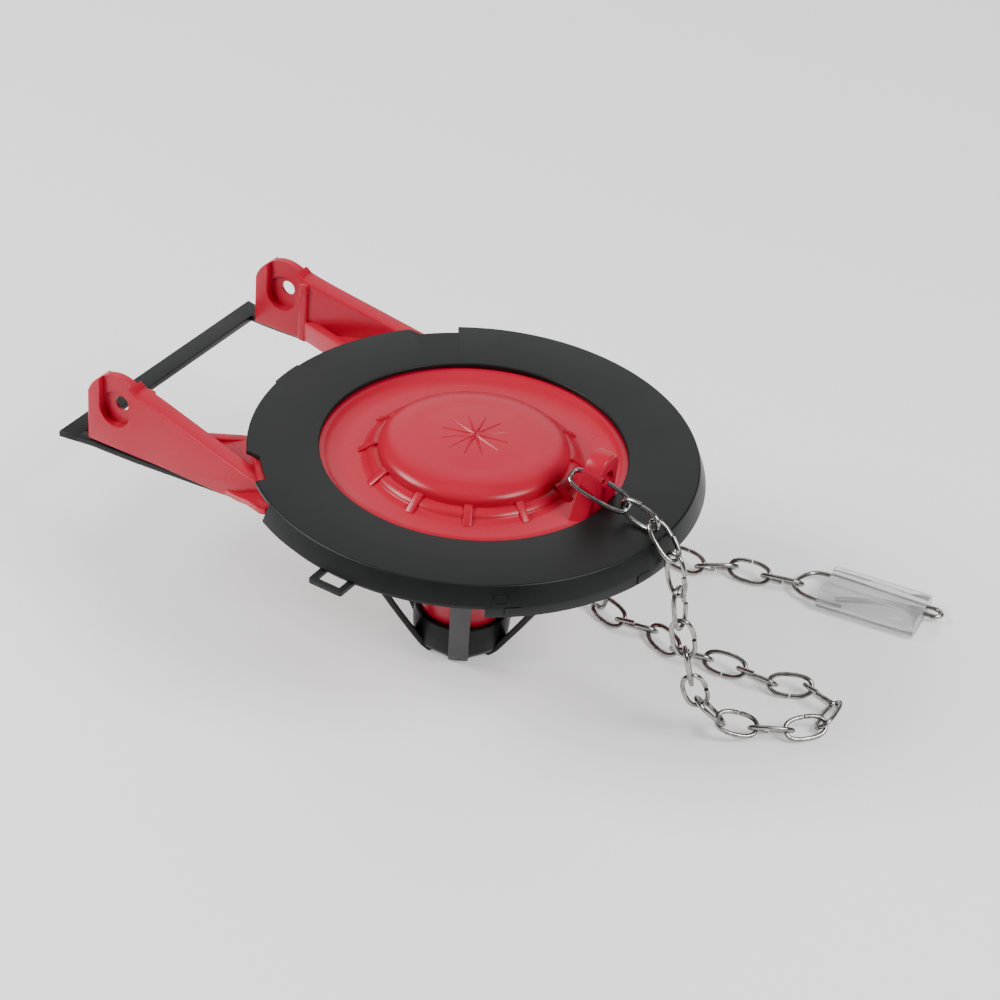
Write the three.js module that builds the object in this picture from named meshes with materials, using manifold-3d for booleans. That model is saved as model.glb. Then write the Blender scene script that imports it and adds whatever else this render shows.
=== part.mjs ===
import * as THREE from 'three';
import { mergeVertices } from 'three/addons/utils/BufferGeometryUtils.js';
import Module from 'manifold-3d';

const wasm = await Module();
wasm.setup();

// Flapper for a cistern flush valve. Millimetres, +Z up, +X along the hinge line, +Y towards the chain lug.
// Places are counted from the middle of the cover ring's top face. The finished group is then moved, so that
// its origin is the middle of the flat foot of the cage leg on the lug's side.
const fitGap = 0.3; // free space between pieces that seat on each other
const roundSides = 48;
const smallSides = 32;

const coverRing = {
  boreRadius: 34.1,
  rimRadius: 50,
  skirtFlare: 1.7,
  plate: 1.1,
  skirtDrop: 4.5,
  skirtWall: 1.3,
  edgeRound: 0.4,
  skirtOpenNear: 62.4,
  skirtOpenFar: 60.6,
  notchInnerX: 31.5,
  notchOuterAngle: 52.6,
  notchDepth: 2.7,
  rearTab: [-94, -84.5],
  rearTabReach: 0.7,
};

const disc = {
  thickness: 3.1,
  rimClearance: 0.35,
  floorDepth: 3,
  floorRadius: 29.5,
  riseRadius: 33.4,
};

const dome = {
  rimRadius: 21.2,
  rimHeight: 1.9,
  crownHeight: 3.7,
  shelfReach: 1.5,
  shelfHeight: -0.4,
  footReach: 2.6,
  ribCount: 12,
  ribReach: 1.9,
  ribTopDrop: 0.3,
  ribThickness: 1,
  starRays: 12,
  starRadius: 7.3,
  starRayWidth: 0.7,
  starRayHeight: 0.35,
};

const cone = {
  topRadius: 26.8,
  bulbRadius: 9.3,
  bulbHeight: -43,
  shoulderHeight: -46.5,
  endRadius: 5.5,
  endHeight: -48.6,
  drainRadius: 2.6,
  wall: 2,
};

const ear = {
  innerX: 29.2,
  thickness: 4.5,
  holeY: -73.8,
  holeZ: -3.2,
  headRadius: 8.4,
  headShift: 0.5,
  rearReach: 7.6,
  frontReach: 7.6,
  bottomDrop: 10.5,
  bottomRise: 0.5,
  boreRadius: 4.2,
  throughRadius: 3.4,
  webThickness: 1.2,
  grooveDepth: 1.4,
};

const arm = {
  thickness: 4,
  splayAngle: 5.2,
  rootY: -68,
  tipY: -29,
  rootTopZ: 3.1,
  ringY: -36,
  ringTopZ: -3,
  ringBottomZ: -10.4,
  wallThickness: 2.4,
  wallTurn: -21,
  wallRootTopZ: -7.8,
  wallEndTopZ: -5,
  wallReach: 26,
  floorThickness: 1.4,
  // Fan at the foot of the arm as [x, y, underside height], from the web out to the end of the hoop.
  fanEdge: [[35.4, -42, -11.1], [37.4, -37, -9.7], [40.4, -32, -6.9], [43.2, -26.6, -5.2], [43.3, -25, -4.7]],
  fanThickness: 1.5,
};

const lug = {
  backY: 28.5,
  thickness: 4.3,
  lean: 5,
  footHalfWidth: 7,
  waistHalfWidth: 4.6,
  waistZ: 3.6,
  headRadius: 4.3,
  headZ: 8.3,
  holeRadius: 2.3,
  holeZ: 6.4,
};

const hoop = {
  wall: 2.6,
  thickness: 1.4,
  lipInset: 0.4,
  lipDrop: 1.2,
  lipStart: 36,
  lipEnd: 88,
  latchWidth: 3.4,
  latchAngles: [42.5, 78],
  latchReach: 0.3,
  latchHeight: 1,
};

const loopTab = {
  length: 5.2,
  halfWidth: 4.2,
  bar: 1.3,
  thickness: 1.2,
  sidewaysY: -0.8,
};

const sideBar = {
  outerRearX: 35.2,
  outerX: 33.7,
  width: 4.2,
  thickness: 1.6,
  flareY: -80,
  levelY: -75,
  bendY: -68,
  frontY: -38,
  frontRise: 2.9,
  rearClearance: 2.3,
  crossWidth: 4.9,
  postX: [28, 31.4],
};

const cage = {
  ringInnerRadius: 28.6,
  ringOuterRadius: 36,
  ringThickness: 1.6,
  legCount: 6,
  legFirstAngle: 30,
  legWidth: 4.6,
  legThickness: 1.7,
  legTopRadius: 33.6,
  legTopDrop: 9,
  legBulge: 0.9,
  footRadius: 9.3,
  footLength: 2.4,
  cupRadius: 10.9,
  cupWall: 1.2,
  cupTop: -43,
  cupFloor: -50.7,
  cupHoleRadius: 4,
  footDrop: 1.8,
  studCount: 6,
  studRadius: 1.2,
  studCircleRadius: 38,
};

const wire = {
  radius: 0.55,
  sides: 6,
  jointGap: 0.35,
  bendPower: 0.8,
  squareBendPower: 0.6,
};

const chain = {
  pitch: 8.1,
  play: 0.62,
  linkWidth: 6,
  pathSteps: 14,
  lugLinkRimGap: 37.3,
  lugLinkWidth: 6,
  lugLinkRoll: 21,
  twists: { 0: 45, 1: 45, 2: 45, 3: 30, 4: 15 },
};

// Clip wire as [distance past the sleeve's mouth, distance across], from one free end to the other.
const clip = {
  sides: 6,
  steps: 44,
  wireRoute: [
    [6, -5.3], [2, -5.7], [-1.6, -5.6], [-5, -4.8], [-7.2, -2.6], [-6.6, 1], [-4.2, 4.2], [0, 5.2], [6, 5.2],
    [14, 4.8], [22, 4.5], [26.4, 4.6], [27.8, 3.2], [26.4, 1.8], [22, 2], [13, 0.4], [4, -3.2],
  ],
};

const sleeve = {
  length: 24,
  width: 15.6,
  height: 5.6,
  wall: 1,
};

const standHeight = -cage.cupFloor + cage.footDrop;
const footMiddle = cage.footRadius - cage.footLength / 2;
const discTop = -coverRing.plate - fitGap;
const discBottom = discTop - disc.thickness;
const skirtInnerRadius = coverRing.rimRadius - coverRing.skirtWall;
const discRadius = skirtInnerRadius - disc.rimClearance;
const domeShelfRadius = dome.rimRadius + dome.shelfReach;
const domeFootRadius = dome.rimRadius + dome.footReach;
const chainRest = -standHeight + (chain.linkWidth / 2 - wire.radius) * Math.SQRT1_2 + wire.radius + 0.02;

const colours = {
  black: new THREE.MeshStandardMaterial({ color: 0x2b2c2c, roughness: 0.55, metalness: 0 }),
  red: new THREE.MeshStandardMaterial({ color: 0xc22a37, roughness: 0.42, metalness: 0 }),
  steel: new THREE.MeshStandardMaterial({ color: 0xb9bab8, roughness: 0.25, metalness: 1 }),
  clear: new THREE.MeshStandardMaterial({ color: 0xdfe2e2, roughness: 0.2, metalness: 0 }),
};

const radians = (degrees) => THREE.MathUtils.degToRad(degrees);
const polar = (radius, degrees) => [radius * Math.cos(radians(degrees)), radius * Math.sin(radians(degrees))];

// A closed solid from any closed geometry, with its faces turned outwards.
function solid(geometry) {
  const bare = geometry.clone();
  bare.deleteAttribute('normal');
  bare.deleteAttribute('uv');
  const merged = mergeVertices(bare, 1e-4);
  const position = merged.attributes.position;
  const corner = [new THREE.Vector3(), new THREE.Vector3(), new THREE.Vector3()];
  const triangles = [];
  let volume = 0;
  for (let i = 0; i < merged.index.count; i += 3) {
    const [a, b, c] = [0, 1, 2].map((k) => merged.index.getX(i + k));
    if (a === b || b === c || c === a) continue;
    triangles.push([a, b, c]);
    [a, b, c].forEach((vertex, k) => corner[k].fromBufferAttribute(position, vertex));
    volume += corner[0].dot(corner[1].cross(corner[2]));
  }
  const order = volume > 0 ? [0, 1, 2] : [0, 2, 1];
  const triVerts = new Uint32Array(triangles.flatMap((triangle) => order.map((k) => triangle[k])));
  return new wasm.Manifold(new wasm.Mesh({ numProp: 3, vertProperties: position.array, triVerts }));
}

function geometryOf(body) {
  const mesh = body.getMesh();
  const geometry = new THREE.BufferGeometry();
  geometry.setAttribute('position', new THREE.BufferAttribute(new Float32Array(mesh.vertProperties), 3));
  geometry.setIndex(new THREE.BufferAttribute(new Uint32Array(mesh.triVerts), 1));
  return geometry;
}

const join = (bodies) => bodies.reduce((whole, body) => whole.add(body));

// A profile of [radius, height] pairs turned about the Z axis.
function turned(profile, sides = roundSides, start = 0, sweep = 360) {
  const points = profile.map(([radius, height]) => new THREE.Vector2(radius, height));
  const geometry = new THREE.LatheGeometry(points, sides, radians(start), radians(sweep));
  return geometry.rotateX(Math.PI / 2);
}

const closed = (profile) => [...profile, profile[0]];

function outline(points, holes = []) {
  const shape = new THREE.Shape(points.map(([x, y]) => new THREE.Vector2(x, y)));
  holes.forEach((hole) => shape.holes.push(hole));
  return shape;
}

// Prisms from an outline seen from above, from the hinge side and from the front.
function prismUp(shape, bottom, top, curveSegments = 12) {
  const options = { depth: top - bottom, bevelEnabled: false, curveSegments };
  return new THREE.ExtrudeGeometry(shape, options).translate(0, 0, bottom);
}

function prismAcross(shape, fromX, toX, curveSegments = 12) {
  const options = { depth: toX - fromX, bevelEnabled: false, curveSegments };
  const turn = new THREE.Matrix4().makeBasis(
    new THREE.Vector3(0, 1, 0), new THREE.Vector3(0, 0, 1), new THREE.Vector3(1, 0, 0));
  return new THREE.ExtrudeGeometry(shape, options).applyMatrix4(turn).translate(fromX, 0, 0);
}

function prismBack(shape, frontY, backY, curveSegments = 12) {
  const options = { depth: frontY - backY, bevelEnabled: false, curveSegments };
  return new THREE.ExtrudeGeometry(shape, options).rotateX(Math.PI / 2).translate(0, frontY, 0);
}

function pieSlice(radius, fromAngle, toAngle, bottom, top) {
  const steps = 12;
  const angleAt = (k) => fromAngle + (toAngle - fromAngle) * k / steps;
  const arc = Array.from({ length: steps + 1 }, (_, k) => polar(radius, angleAt(k)));
  return solid(prismUp(outline([[0, 0], ...arc]), bottom, top));
}

function mirrored(geometry) {
  return geometry.clone().scale(-1, 1, 1);
}

const bothSides = (geometry) => solid(geometry).add(solid(mirrored(geometry)));

// Flat cover ring with its skirt, open behind where the arms come out.
function makeCoverRing() {
  const { boreRadius, rimRadius, skirtFlare, plate, skirtDrop, skirtWall, edgeRound } = coverRing;
  const plateProfile = closed([
    [boreRadius, -plate], [rimRadius - skirtWall, -plate], [rimRadius, -plate], [rimRadius, -edgeRound],
    [rimRadius - edgeRound, 0], [boreRadius + edgeRound, 0], [boreRadius, -edgeRound],
  ]);
  const skirtProfile = closed([
    [rimRadius - skirtWall, -plate / 2], [rimRadius - 0.1, -plate / 2],
    [rimRadius + skirtFlare, -skirtDrop], [rimRadius + skirtFlare - skirtWall, -skirtDrop],
    [rimRadius - skirtWall, -plate],
  ]);
  const openFrom = -90 - coverRing.skirtOpenFar;
  const openTo = -90 + coverRing.skirtOpenNear;
  const opening = pieSlice(2 * rimRadius, openFrom, openTo, -2 * skirtDrop, 1);
  const skirt = solid(turned(skirtProfile)).subtract(opening);
  const notchFloor = rimRadius - coverRing.notchDepth;
  const outerCorner = (radius) => {
    const [x, y] = polar(radius, coverRing.notchOuterAngle - 90);
    return [x, y];
  };
  const inner = coverRing.notchInnerX;
  const notch = bothSides(prismUp(outline([
    [inner, -Math.sqrt(notchFloor ** 2 - inner ** 2)],
    [inner, -rimRadius],
    [inner + rimRadius / 4, -rimRadius],
    outerCorner(rimRadius * 1.1),
    outerCorner(notchFloor),
    polar(notchFloor, coverRing.notchOuterAngle - 97),
  ]), -2 * skirtDrop, 1));
  const tabReach = rimRadius + coverRing.rearTabReach;
  const core = new THREE.CylinderGeometry(rimRadius - 1, rimRadius - 1, 2 * skirtDrop, roundSides);
  const tab = pieSlice(tabReach, ...coverRing.rearTab, -plate, -edgeRound / 2)
    .subtract(solid(core.rotateX(Math.PI / 2)));
  return solid(turned(plateProfile)).subtract(notch).add(skirt).add(tab);
}

// Seal disc, crowned dome and hollow float cone: one turned shell, open at its drain hole.
function makeSealTurned() {
  const crown = [0, 1, 2, 3].map((k) => {
    const radius = dome.rimRadius * k / 3.2;
    const drop = (dome.crownHeight - dome.rimHeight) * (radius / dome.rimRadius) ** 2;
    return [radius, dome.crownHeight - drop];
  });
  const bulbWallRadius = cone.bulbRadius - cone.wall;
  const profile = [
    ...crown,
    [dome.rimRadius, dome.rimHeight],
    [dome.rimRadius + 0.9, dome.rimHeight - 0.8],
    [domeShelfRadius - 0.3, dome.shelfHeight + 0.2],
    [domeShelfRadius + 0.4, dome.shelfHeight - 0.4],
    [domeFootRadius, -disc.floorDepth + 0.5],
    [domeFootRadius + 0.8, -disc.floorDepth],
    [disc.floorRadius, -disc.floorDepth],
    [(disc.floorRadius + disc.riseRadius) / 2 + 0.6, (discTop - disc.floorDepth) / 2 - 0.2],
    [disc.riseRadius, discTop],
    [discRadius, discTop],
    [discRadius, discBottom],
    [cone.topRadius, discBottom],
    [cone.bulbRadius, cone.bulbHeight],
    [cone.bulbRadius, cone.shoulderHeight],
    [cone.endRadius, cone.endHeight],
    [cone.drainRadius, cone.endHeight],
    [cone.drainRadius, cone.endHeight + cone.wall],
    [bulbWallRadius, cone.shoulderHeight + cone.wall / 2],
    [bulbWallRadius, cone.bulbHeight],
    [cone.topRadius - 2 * cone.wall, discBottom - 1.5 * cone.wall],
    [domeShelfRadius - cone.wall, -disc.floorDepth],
    [dome.rimRadius - cone.wall, dome.shelfHeight],
    [dome.rimRadius - 2 * cone.wall, dome.rimHeight - cone.wall / 2],
    [0, dome.crownHeight - cone.wall],
  ];
  return solid(turned(profile));
}

// Small gussets round the foot of the dome.
function makeDomeRibs() {
  const inner = dome.rimRadius - 0.4;
  const shape = outline([
    [inner, dome.shelfHeight + dome.rimHeight - dome.ribTopDrop],
    [domeShelfRadius + 0.1, dome.shelfHeight + dome.rimHeight - dome.ribTopDrop],
    [domeFootRadius + dome.ribReach, -disc.floorDepth],
    [domeFootRadius + dome.ribReach, -disc.floorDepth - 0.4],
    [inner, -disc.floorDepth - 0.4],
  ]);
  const rib = prismBack(shape, dome.ribThickness / 2, -dome.ribThickness / 2);
  return Array.from({ length: dome.ribCount }, (_, k) =>
    solid(rib.clone().rotateZ(2 * Math.PI * k / dome.ribCount)));
}

// Raised star of tapering rays on the crown.
function makeStar() {
  const points = Array.from({ length: 2 * dome.starRays }, (_, k) => {
    const angle = 360 * (k + 0.5) / dome.starRays / 2 + 180 / dome.starRays / 2;
    return polar(k % 2 === 0 ? dome.starRadius : 1.1 * dome.starRayWidth * 1.6, angle);
  });
  const bottom = dome.crownHeight - 1;
  return solid(prismUp(outline(points), bottom, dome.crownHeight + dome.starRayHeight / 2));
}

// Ear with its stepped pivot hole and the groove that leads down into it, from both faces.
function makeEar() {
  const { innerX, thickness, holeY, holeZ, headRadius, rearReach, frontReach, bottomDrop } = ear;
  const rearLift = Math.sqrt(headRadius ** 2 - (rearReach + ear.headShift) ** 2);
  const frontLift = Math.sqrt(headRadius ** 2 - (frontReach - ear.headShift) ** 2);
  const startAngle = Math.PI - Math.asin(rearLift / headRadius);
  const endAngle = Math.asin(frontLift / headRadius);
  const head = Array.from({ length: 11 }, (_, k) => {
    const angle = startAngle + (endAngle - startAngle) * k / 10;
    return [holeY + ear.headShift + headRadius * Math.cos(angle), holeZ + headRadius * Math.sin(angle)];
  });
  const plate = solid(prismAcross(outline([
    [holeY - rearReach, holeZ - bottomDrop], ...head,
    [holeY + frontReach, holeZ - bottomDrop + ear.bottomRise],
  ]), innerX, innerX + thickness));
  const circle = (radius, fromX, toX) => {
    const path = new THREE.Shape().absarc(holeY, holeZ, radius, 0, 2 * Math.PI, false);
    return solid(prismAcross(path, fromX, toX, 10));
  };
  const webFrom = innerX + (thickness - ear.webThickness) / 2;
  const webTo = webFrom + ear.webThickness;
  const groove = outline([
    [holeY - ear.boreRadius, holeZ], [holeY + ear.boreRadius, holeZ],
    [holeY + ear.boreRadius, holeZ + 2 * headRadius], [holeY - ear.boreRadius, holeZ + 2 * headRadius],
  ]);
  return plate
    .subtract(circle(ear.boreRadius, innerX - 1, webFrom))
    .subtract(circle(ear.boreRadius, webTo, innerX + thickness + 1))
    .subtract(circle(ear.throughRadius, innerX - 1, innerX + thickness + 1))
    .subtract(solid(prismAcross(groove, innerX - 1, innerX + ear.grooveDepth)))
    .subtract(solid(prismAcross(groove, innerX + thickness - ear.grooveDepth, innerX + thickness + 1)));
}

// Arm: a deep outer web, a low inner wall, a thin floor between them and a fan at its foot.
function makeArm() {
  const earBottomZ = ear.holeZ - ear.bottomDrop;
  const rootBottomZ = earBottomZ + ear.bottomRise;
  const rootX = ear.innerX + (ear.thickness - arm.thickness) / 2;
  const splayed = (geometry, degrees, x, y) =>
    geometry.translate(-x, -y, 0).rotateZ(-radians(degrees)).translate(x, y, 0);
  const web = outline([
    [arm.rootY - 1.5, rootBottomZ],
    [arm.ringY - 7, arm.ringBottomZ - 0.9],
    [arm.ringY - 1.5, arm.ringBottomZ],
    [arm.ringY + 3, discBottom - 2],
    [arm.tipY, discBottom],
    [arm.tipY, discTop - 1.8],
    [arm.ringY, arm.ringTopZ],
    [arm.rootY - 1.5, arm.rootTopZ + 0.3],
  ]);
  const outer = splayed(prismAcross(web, rootX, rootX + arm.thickness), arm.splayAngle, rootX, arm.rootY);
  const wallEndY = arm.rootY + arm.wallReach;
  const wall = outline([
    [arm.rootY, rootBottomZ + 0.2], [arm.rootY + 10, rootBottomZ + 1.4], [wallEndY - 3, discBottom - 2.4],
    [wallEndY, discBottom - 0.9], [wallEndY, arm.wallEndTopZ + 0.3], [wallEndY - 4, arm.wallEndTopZ],
    [arm.rootY, arm.wallRootTopZ],
  ]);
  const inner = splayed(
    prismAcross(wall, ear.innerX, ear.innerX + arm.wallThickness), arm.wallTurn, ear.innerX, arm.rootY);
  const floorRootZ = rootBottomZ + 0.4;
  const floorEndZ = discBottom - 0.6;
  const floorSide = solid(prismAcross(outline([
    [arm.rootY, floorRootZ], [wallEndY, floorEndZ], [wallEndY + 6, floorEndZ],
    [wallEndY + 6, floorEndZ + arm.floorThickness], [wallEndY, floorEndZ + arm.floorThickness],
    [arm.rootY, floorRootZ + arm.floorThickness],
  ]), 0, 2 * ear.innerX));
  const wallRun = Math.tan(radians(-arm.wallTurn));
  const webRun = Math.tan(radians(arm.splayAngle));
  const webX = rootX + 1 + webRun * (arm.ringY - arm.rootY);
  const wallX = ear.innerX + 0.6 - wallRun * (wallEndY - arm.rootY);
  const floorPlan = solid(prismUp(outline([
    [ear.innerX + 0.6, arm.rootY],
    [rootX + 1, arm.rootY],
    [webX, arm.ringY],
    [wallX, arm.ringY],
    [wallX, wallEndY],
  ]), -2 * standHeight, standHeight));
  return join([solid(outer), solid(inner), floorSide.intersect(floorPlan), makeFan()]);
}

// A sloping fan plate, cut as slabs that each follow one stretch of its outer edge.
function makeFan() {
  const inset = 5;
  const slabs = arm.fanEdge.slice(1).map(([x1, y1, z1], k) => {
    const [x0, y0, z0] = arm.fanEdge[k];
    const side = outline([[y0, z0], [y1, z1], [y1, z1 + arm.fanThickness], [y0, z0 + arm.fanThickness]]);
    const inner = (x) => Math.max(x - inset, sideBar.postX[1] + 2 * fitGap);
    const plan = outline([[inner(x0), y0], [x0, y0], [x1, y1], [inner(x1), y1]]);
    const slab = solid(prismAcross(side, 0, 2 * ear.innerX));
    return slab.intersect(solid(prismUp(plan, -standHeight, 0)));
  });
  return join(slabs);
}

// Lug for the chain: a rounded plate standing on the disc, leaning a little outwards.
function makeLug() {
  const footZ = -disc.floorDepth - 0.6;
  const arc = Array.from({ length: 9 }, (_, k) => {
    const [x, z] = polar(lug.headRadius, 180 * k / 8);
    return [x, lug.headZ + z];
  });
  const hole = new THREE.Path().absarc(0, lug.holeZ, lug.holeRadius, 0, 2 * Math.PI, true);
  const shape = outline([
    [lug.footHalfWidth, footZ], [lug.waistHalfWidth, lug.waistZ], ...arc,
    [-lug.waistHalfWidth, lug.waistZ], [-lug.footHalfWidth, footZ],
  ], [hole]);
  const plate = prismBack(shape, lug.backY + lug.thickness, lug.backY, 8);
  plate.translate(0, -lug.backY, -footZ).rotateX(-radians(lug.lean)).translate(0, lug.backY, footZ);
  return solid(plate);
}

function makeStuds(radius, bottom, top) {
  return Array.from({ length: cage.studCount }, (_, k) => {
    const [x, y] = polar(cage.studCircleRadius, 360 * k / cage.studCount + cage.legFirstAngle);
    const stud = new THREE.CylinderGeometry(radius, radius, top - bottom, 8);
    return solid(stud.rotateX(Math.PI / 2).translate(x, y, (top + bottom) / 2));
  });
}

function makeSealBody() {
  const side = join([makeEar(), makeArm()]);
  const flip = side.mirror([1, 0, 0]);
  const whole = join([makeSealTurned(), ...makeDomeRibs(), makeStar(), side, flip, makeLug()]);
  return whole.subtract(join(makeStuds(cage.studRadius + fitGap, discBottom - 1, discTop + 1)));
}

// Clamp frame: hoop under the disc's rim, its latches and loop tab, and the strips that carry the arms.
function makeClampFrame() {
  const top = discBottom - fitGap;
  const bottom = top - hoop.thickness;
  const outer = coverRing.rimRadius + coverRing.skirtFlare - coverRing.skirtWall - 0.2;
  const inner = discRadius - hoop.wall;
  const ring = solid(turned(closed([[inner, bottom], [outer, bottom], [outer, top], [inner, top]])));
  const lipOuter = coverRing.rimRadius + coverRing.skirtFlare - hoop.lipInset;
  const lipTop = -coverRing.skirtDrop - fitGap;
  const lipRing = solid(turned(closed([
    [outer - 1.4, bottom - hoop.lipDrop], [lipOuter, bottom - hoop.lipDrop],
    [lipOuter, lipTop], [outer - 1.4, lipTop],
  ])));
  const lip = lipRing.intersect(pieSlice(2 * outer, hoop.lipStart, hoop.lipEnd, -standHeight, 0));
  const halfGap = coverRing.skirtOpenNear;
  const gap = pieSlice(2 * outer, -90 - halfGap, -90 + halfGap, -standHeight, 0);
  const latches = hoop.latchAngles.map((angle) => {
    const reach = lipOuter + hoop.latchReach;
    const block = new THREE.BoxGeometry(reach - outer + 1, hoop.latchWidth, hoop.latchHeight + hoop.lipDrop);
    const middle = lipTop - (hoop.latchHeight + hoop.lipDrop) / 2;
    return solid(block.translate((reach + outer - 1) / 2, 0, middle).rotateZ(radians(angle)));
  });
  return join([ring.subtract(gap), lip, ...latches, makeLoopTab(bottom, outer), makeStrips(top, outer)]);
}

function makeLoopTab(bottom, outer) {
  const { length, halfWidth, bar, thickness, sidewaysY } = loopTab;
  const near = outer - 2;
  const far = outer + length;
  const holeHalfWidth = halfWidth - bar;
  const hole = new THREE.Path([
    [near + bar, sidewaysY - holeHalfWidth], [near + bar, sidewaysY + holeHalfWidth],
    [far - bar, sidewaysY + holeHalfWidth], [far - bar, sidewaysY - holeHalfWidth],
  ].map(([x, y]) => new THREE.Vector2(x, y)));
  const shape = outline([
    [near, sidewaysY - halfWidth], [far, sidewaysY - halfWidth],
    [far, sidewaysY + halfWidth], [near, sidewaysY + halfWidth],
  ], [hole]);
  return solid(prismUp(shape, bottom, bottom + thickness));
}

function makeStrips(hoopTop, hoopOuter) {
  const { outerRearX, outerX, width, thickness, crossWidth } = sideBar;
  const { flareY, levelY, bendY, frontY, frontRise } = sideBar;
  const rearY = ear.holeY - ear.rearReach - sideBar.rearClearance - crossWidth;
  const topZ = ear.holeZ - ear.bottomDrop - fitGap;
  const frontTopZ = topZ + frontRise;
  const barSide = outline([
    [rearY, topZ], [rearY, topZ - thickness], [flareY, topZ - thickness],
    [frontY, frontTopZ - thickness * 0.8], [frontY, frontTopZ], [bendY, topZ + 0.35], [levelY, topZ],
  ]);
  const barPlan = outline([
    [outerX - width, rearY], [outerRearX, rearY], [outerX, flareY],
    [outerX, frontY], [outerX - width, frontY],
  ]);
  const bar = solid(prismAcross(barSide, 0, 2 * outerRearX))
    .intersect(solid(prismUp(barPlan, -standHeight, 0)));
  const cross = outline([
    [-outerX, rearY], [outerX, rearY], [outerX, rearY + crossWidth], [-outerX, rearY + crossWidth],
  ]);
  // A post climbs from the front of each bar to a tongue that runs under the disc to the end of the hoop.
  const [postInner, postOuter] = sideBar.postX;
  const post = solid(prismUp(outline([
    [postInner, frontY - 3.4], [postOuter, frontY - 3.4], [postOuter, frontY], [postInner, frontY],
  ]), frontTopZ - thickness * 0.9, hoopTop - 1.5));
  const [endX, endY] = polar(hoopOuter, -90 + coverRing.skirtOpenNear);
  const tongue = solid(prismUp(outline([
    [postInner, frontY - 3.4], [postOuter, frontY - 3.4], [postOuter, arm.tipY - 0.6],
    [endX - 8.4, arm.tipY + 2.8], [endX - 4.4, endY - 0.2], [endX - 1, endY + 2], [endX - 8, endY + 2.4],
    [postInner, arm.tipY - 2],
  ]), hoopTop - hoop.thickness - 1.4, hoopTop - 1.1));
  const riser = solid(prismUp(outline([
    [endX - 4, endY], [endX - 1, endY], [endX - 1, endY + 2], [endX - 5, endY + 2],
  ]), hoopTop - hoop.thickness - 1.4, hoopTop));
  const side = join([bar, post, tongue, riser]);
  return join([side, side.mirror([1, 0, 0]), solid(prismUp(cross, topZ - thickness, topZ))]);
}

// Cage under the disc: a ring with studs, slender legs and the cup round the bulb.
function makeCage() {
  const top = discBottom - fitGap;
  const ring = solid(turned(closed([
    [cage.ringInnerRadius, top - cage.ringThickness], [cage.ringOuterRadius + 3.6, top - cage.ringThickness],
    [cage.ringOuterRadius + 3.6, top], [cage.ringInnerRadius, top],
  ]), roundSides));
  const cup = solid(turned(closed([
    [cage.cupRadius - cage.cupWall, cage.cupTop], [cage.cupRadius, cage.cupTop],
    [cage.cupRadius, cage.cupFloor + 3.4], [cage.cupRadius - 0.6, cage.cupFloor + 1.5],
    [cage.cupRadius - 1.9, cage.cupFloor], [cage.cupHoleRadius, cage.cupFloor],
    [cage.cupHoleRadius, cage.cupFloor + cage.cupWall],
    [cage.cupRadius - cage.cupWall - 1, cage.cupFloor + cage.cupWall + 0.6],
    [cage.cupRadius - cage.cupWall, cage.cupFloor + 3.6],
  ]), smallSides));
  const { legTopRadius, legTopDrop, legBulge, legThickness, footRadius, footLength } = cage;
  const outerLine = Array.from({ length: 7 }, (_, k) => {
    const t = k / 6;
    const radius = legTopRadius + (footRadius + 0.8 - legTopRadius) * t + legBulge * 4 * t * (1 - t);
    return [radius, -legTopDrop + (legTopDrop - standHeight + 1.4) * t];
  });
  const innerLine = outerLine.map(([radius, height]) => [radius - legThickness, height]).reverse();
  const leg = outline([
    [legTopRadius + 0.6, top - 0.2], ...outerLine, [footRadius, -standHeight],
    [footRadius - footLength, -standHeight], ...innerLine, [legTopRadius - 1.6, top - 0.2],
  ]);
  const legPrism = prismBack(leg, cage.legWidth / 2, -cage.legWidth / 2);
  const legs = Array.from({ length: cage.legCount }, (_, k) =>
    solid(legPrism.clone().rotateZ(radians(cage.legFirstAngle + 360 * k / cage.legCount))));
  return join([ring, cup, ...legs, ...makeStuds(cage.studRadius, top - 0.6, discTop)]);
}

// Centre line of one bent wire link: a long oval, open by a narrow saw cut in one side.
class LinkPath extends THREE.Curve {
  constructor(length, width, power) {
    super();
    this.power = power;
    this.halfLength = length / 2;
    this.halfWidth = width / 2;
    this.cut = wire.jointGap / length;
  }

  getPoint(t, target = new THREE.Vector3()) {
    const angle = Math.PI / 2 + this.cut + (2 * Math.PI - 2 * this.cut) * t;
    const bend = (value) => Math.sign(value) * Math.abs(value) ** this.power;
    return target.set(this.halfLength * bend(Math.cos(angle)), this.halfWidth * bend(Math.sin(angle)), 0);
  }
}

function wireAlong(path, steps, sides) {
  const corners = Array.from({ length: sides }, (_, k) => polar(wire.radius, 360 * (k + 0.5) / sides));
  const section = outline(corners);
  return new THREE.ExtrudeGeometry(section, { steps, bevelEnabled: false, extrudePath: path });
}

// Joints of the chain: the traced joints, shifted until every link spans the same distance.
function evenJoints(traced, pitch) {
  const joints = traced.map((point) => new THREE.Vector3(...point));
  for (let pass = 0; pass < 600; pass += 1) {
    for (let k = 1; k < joints.length; k += 1) {
      const step = joints[k].clone().sub(joints[k - 1]);
      step.multiplyScalar((step.length() - pitch) / step.length() / 2);
      if (k > 1) joints[k - 1].add(step);
      joints[k].sub(step);
    }
  }
  return joints;
}

function linkMesh(name, from, to, side, roll, length, width, power = wire.bendPower) {
  const geometry = wireAlong(new LinkPath(length, width, power), chain.pathSteps, wire.sides);
  const mesh = new THREE.Mesh(geometry, colours.steel.clone());
  const along = to.clone().sub(from).normalize();
  const flat = side.clone().addScaledVector(along, -side.dot(along)).normalize();
  const basis = new THREE.Matrix4().makeBasis(along, flat, along.clone().cross(flat));
  mesh.quaternion.setFromRotationMatrix(basis);
  mesh.rotateX(roll);
  mesh.position.copy(from).add(to).multiplyScalar(0.5);
  mesh.name = name;
  return mesh;
}

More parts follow.
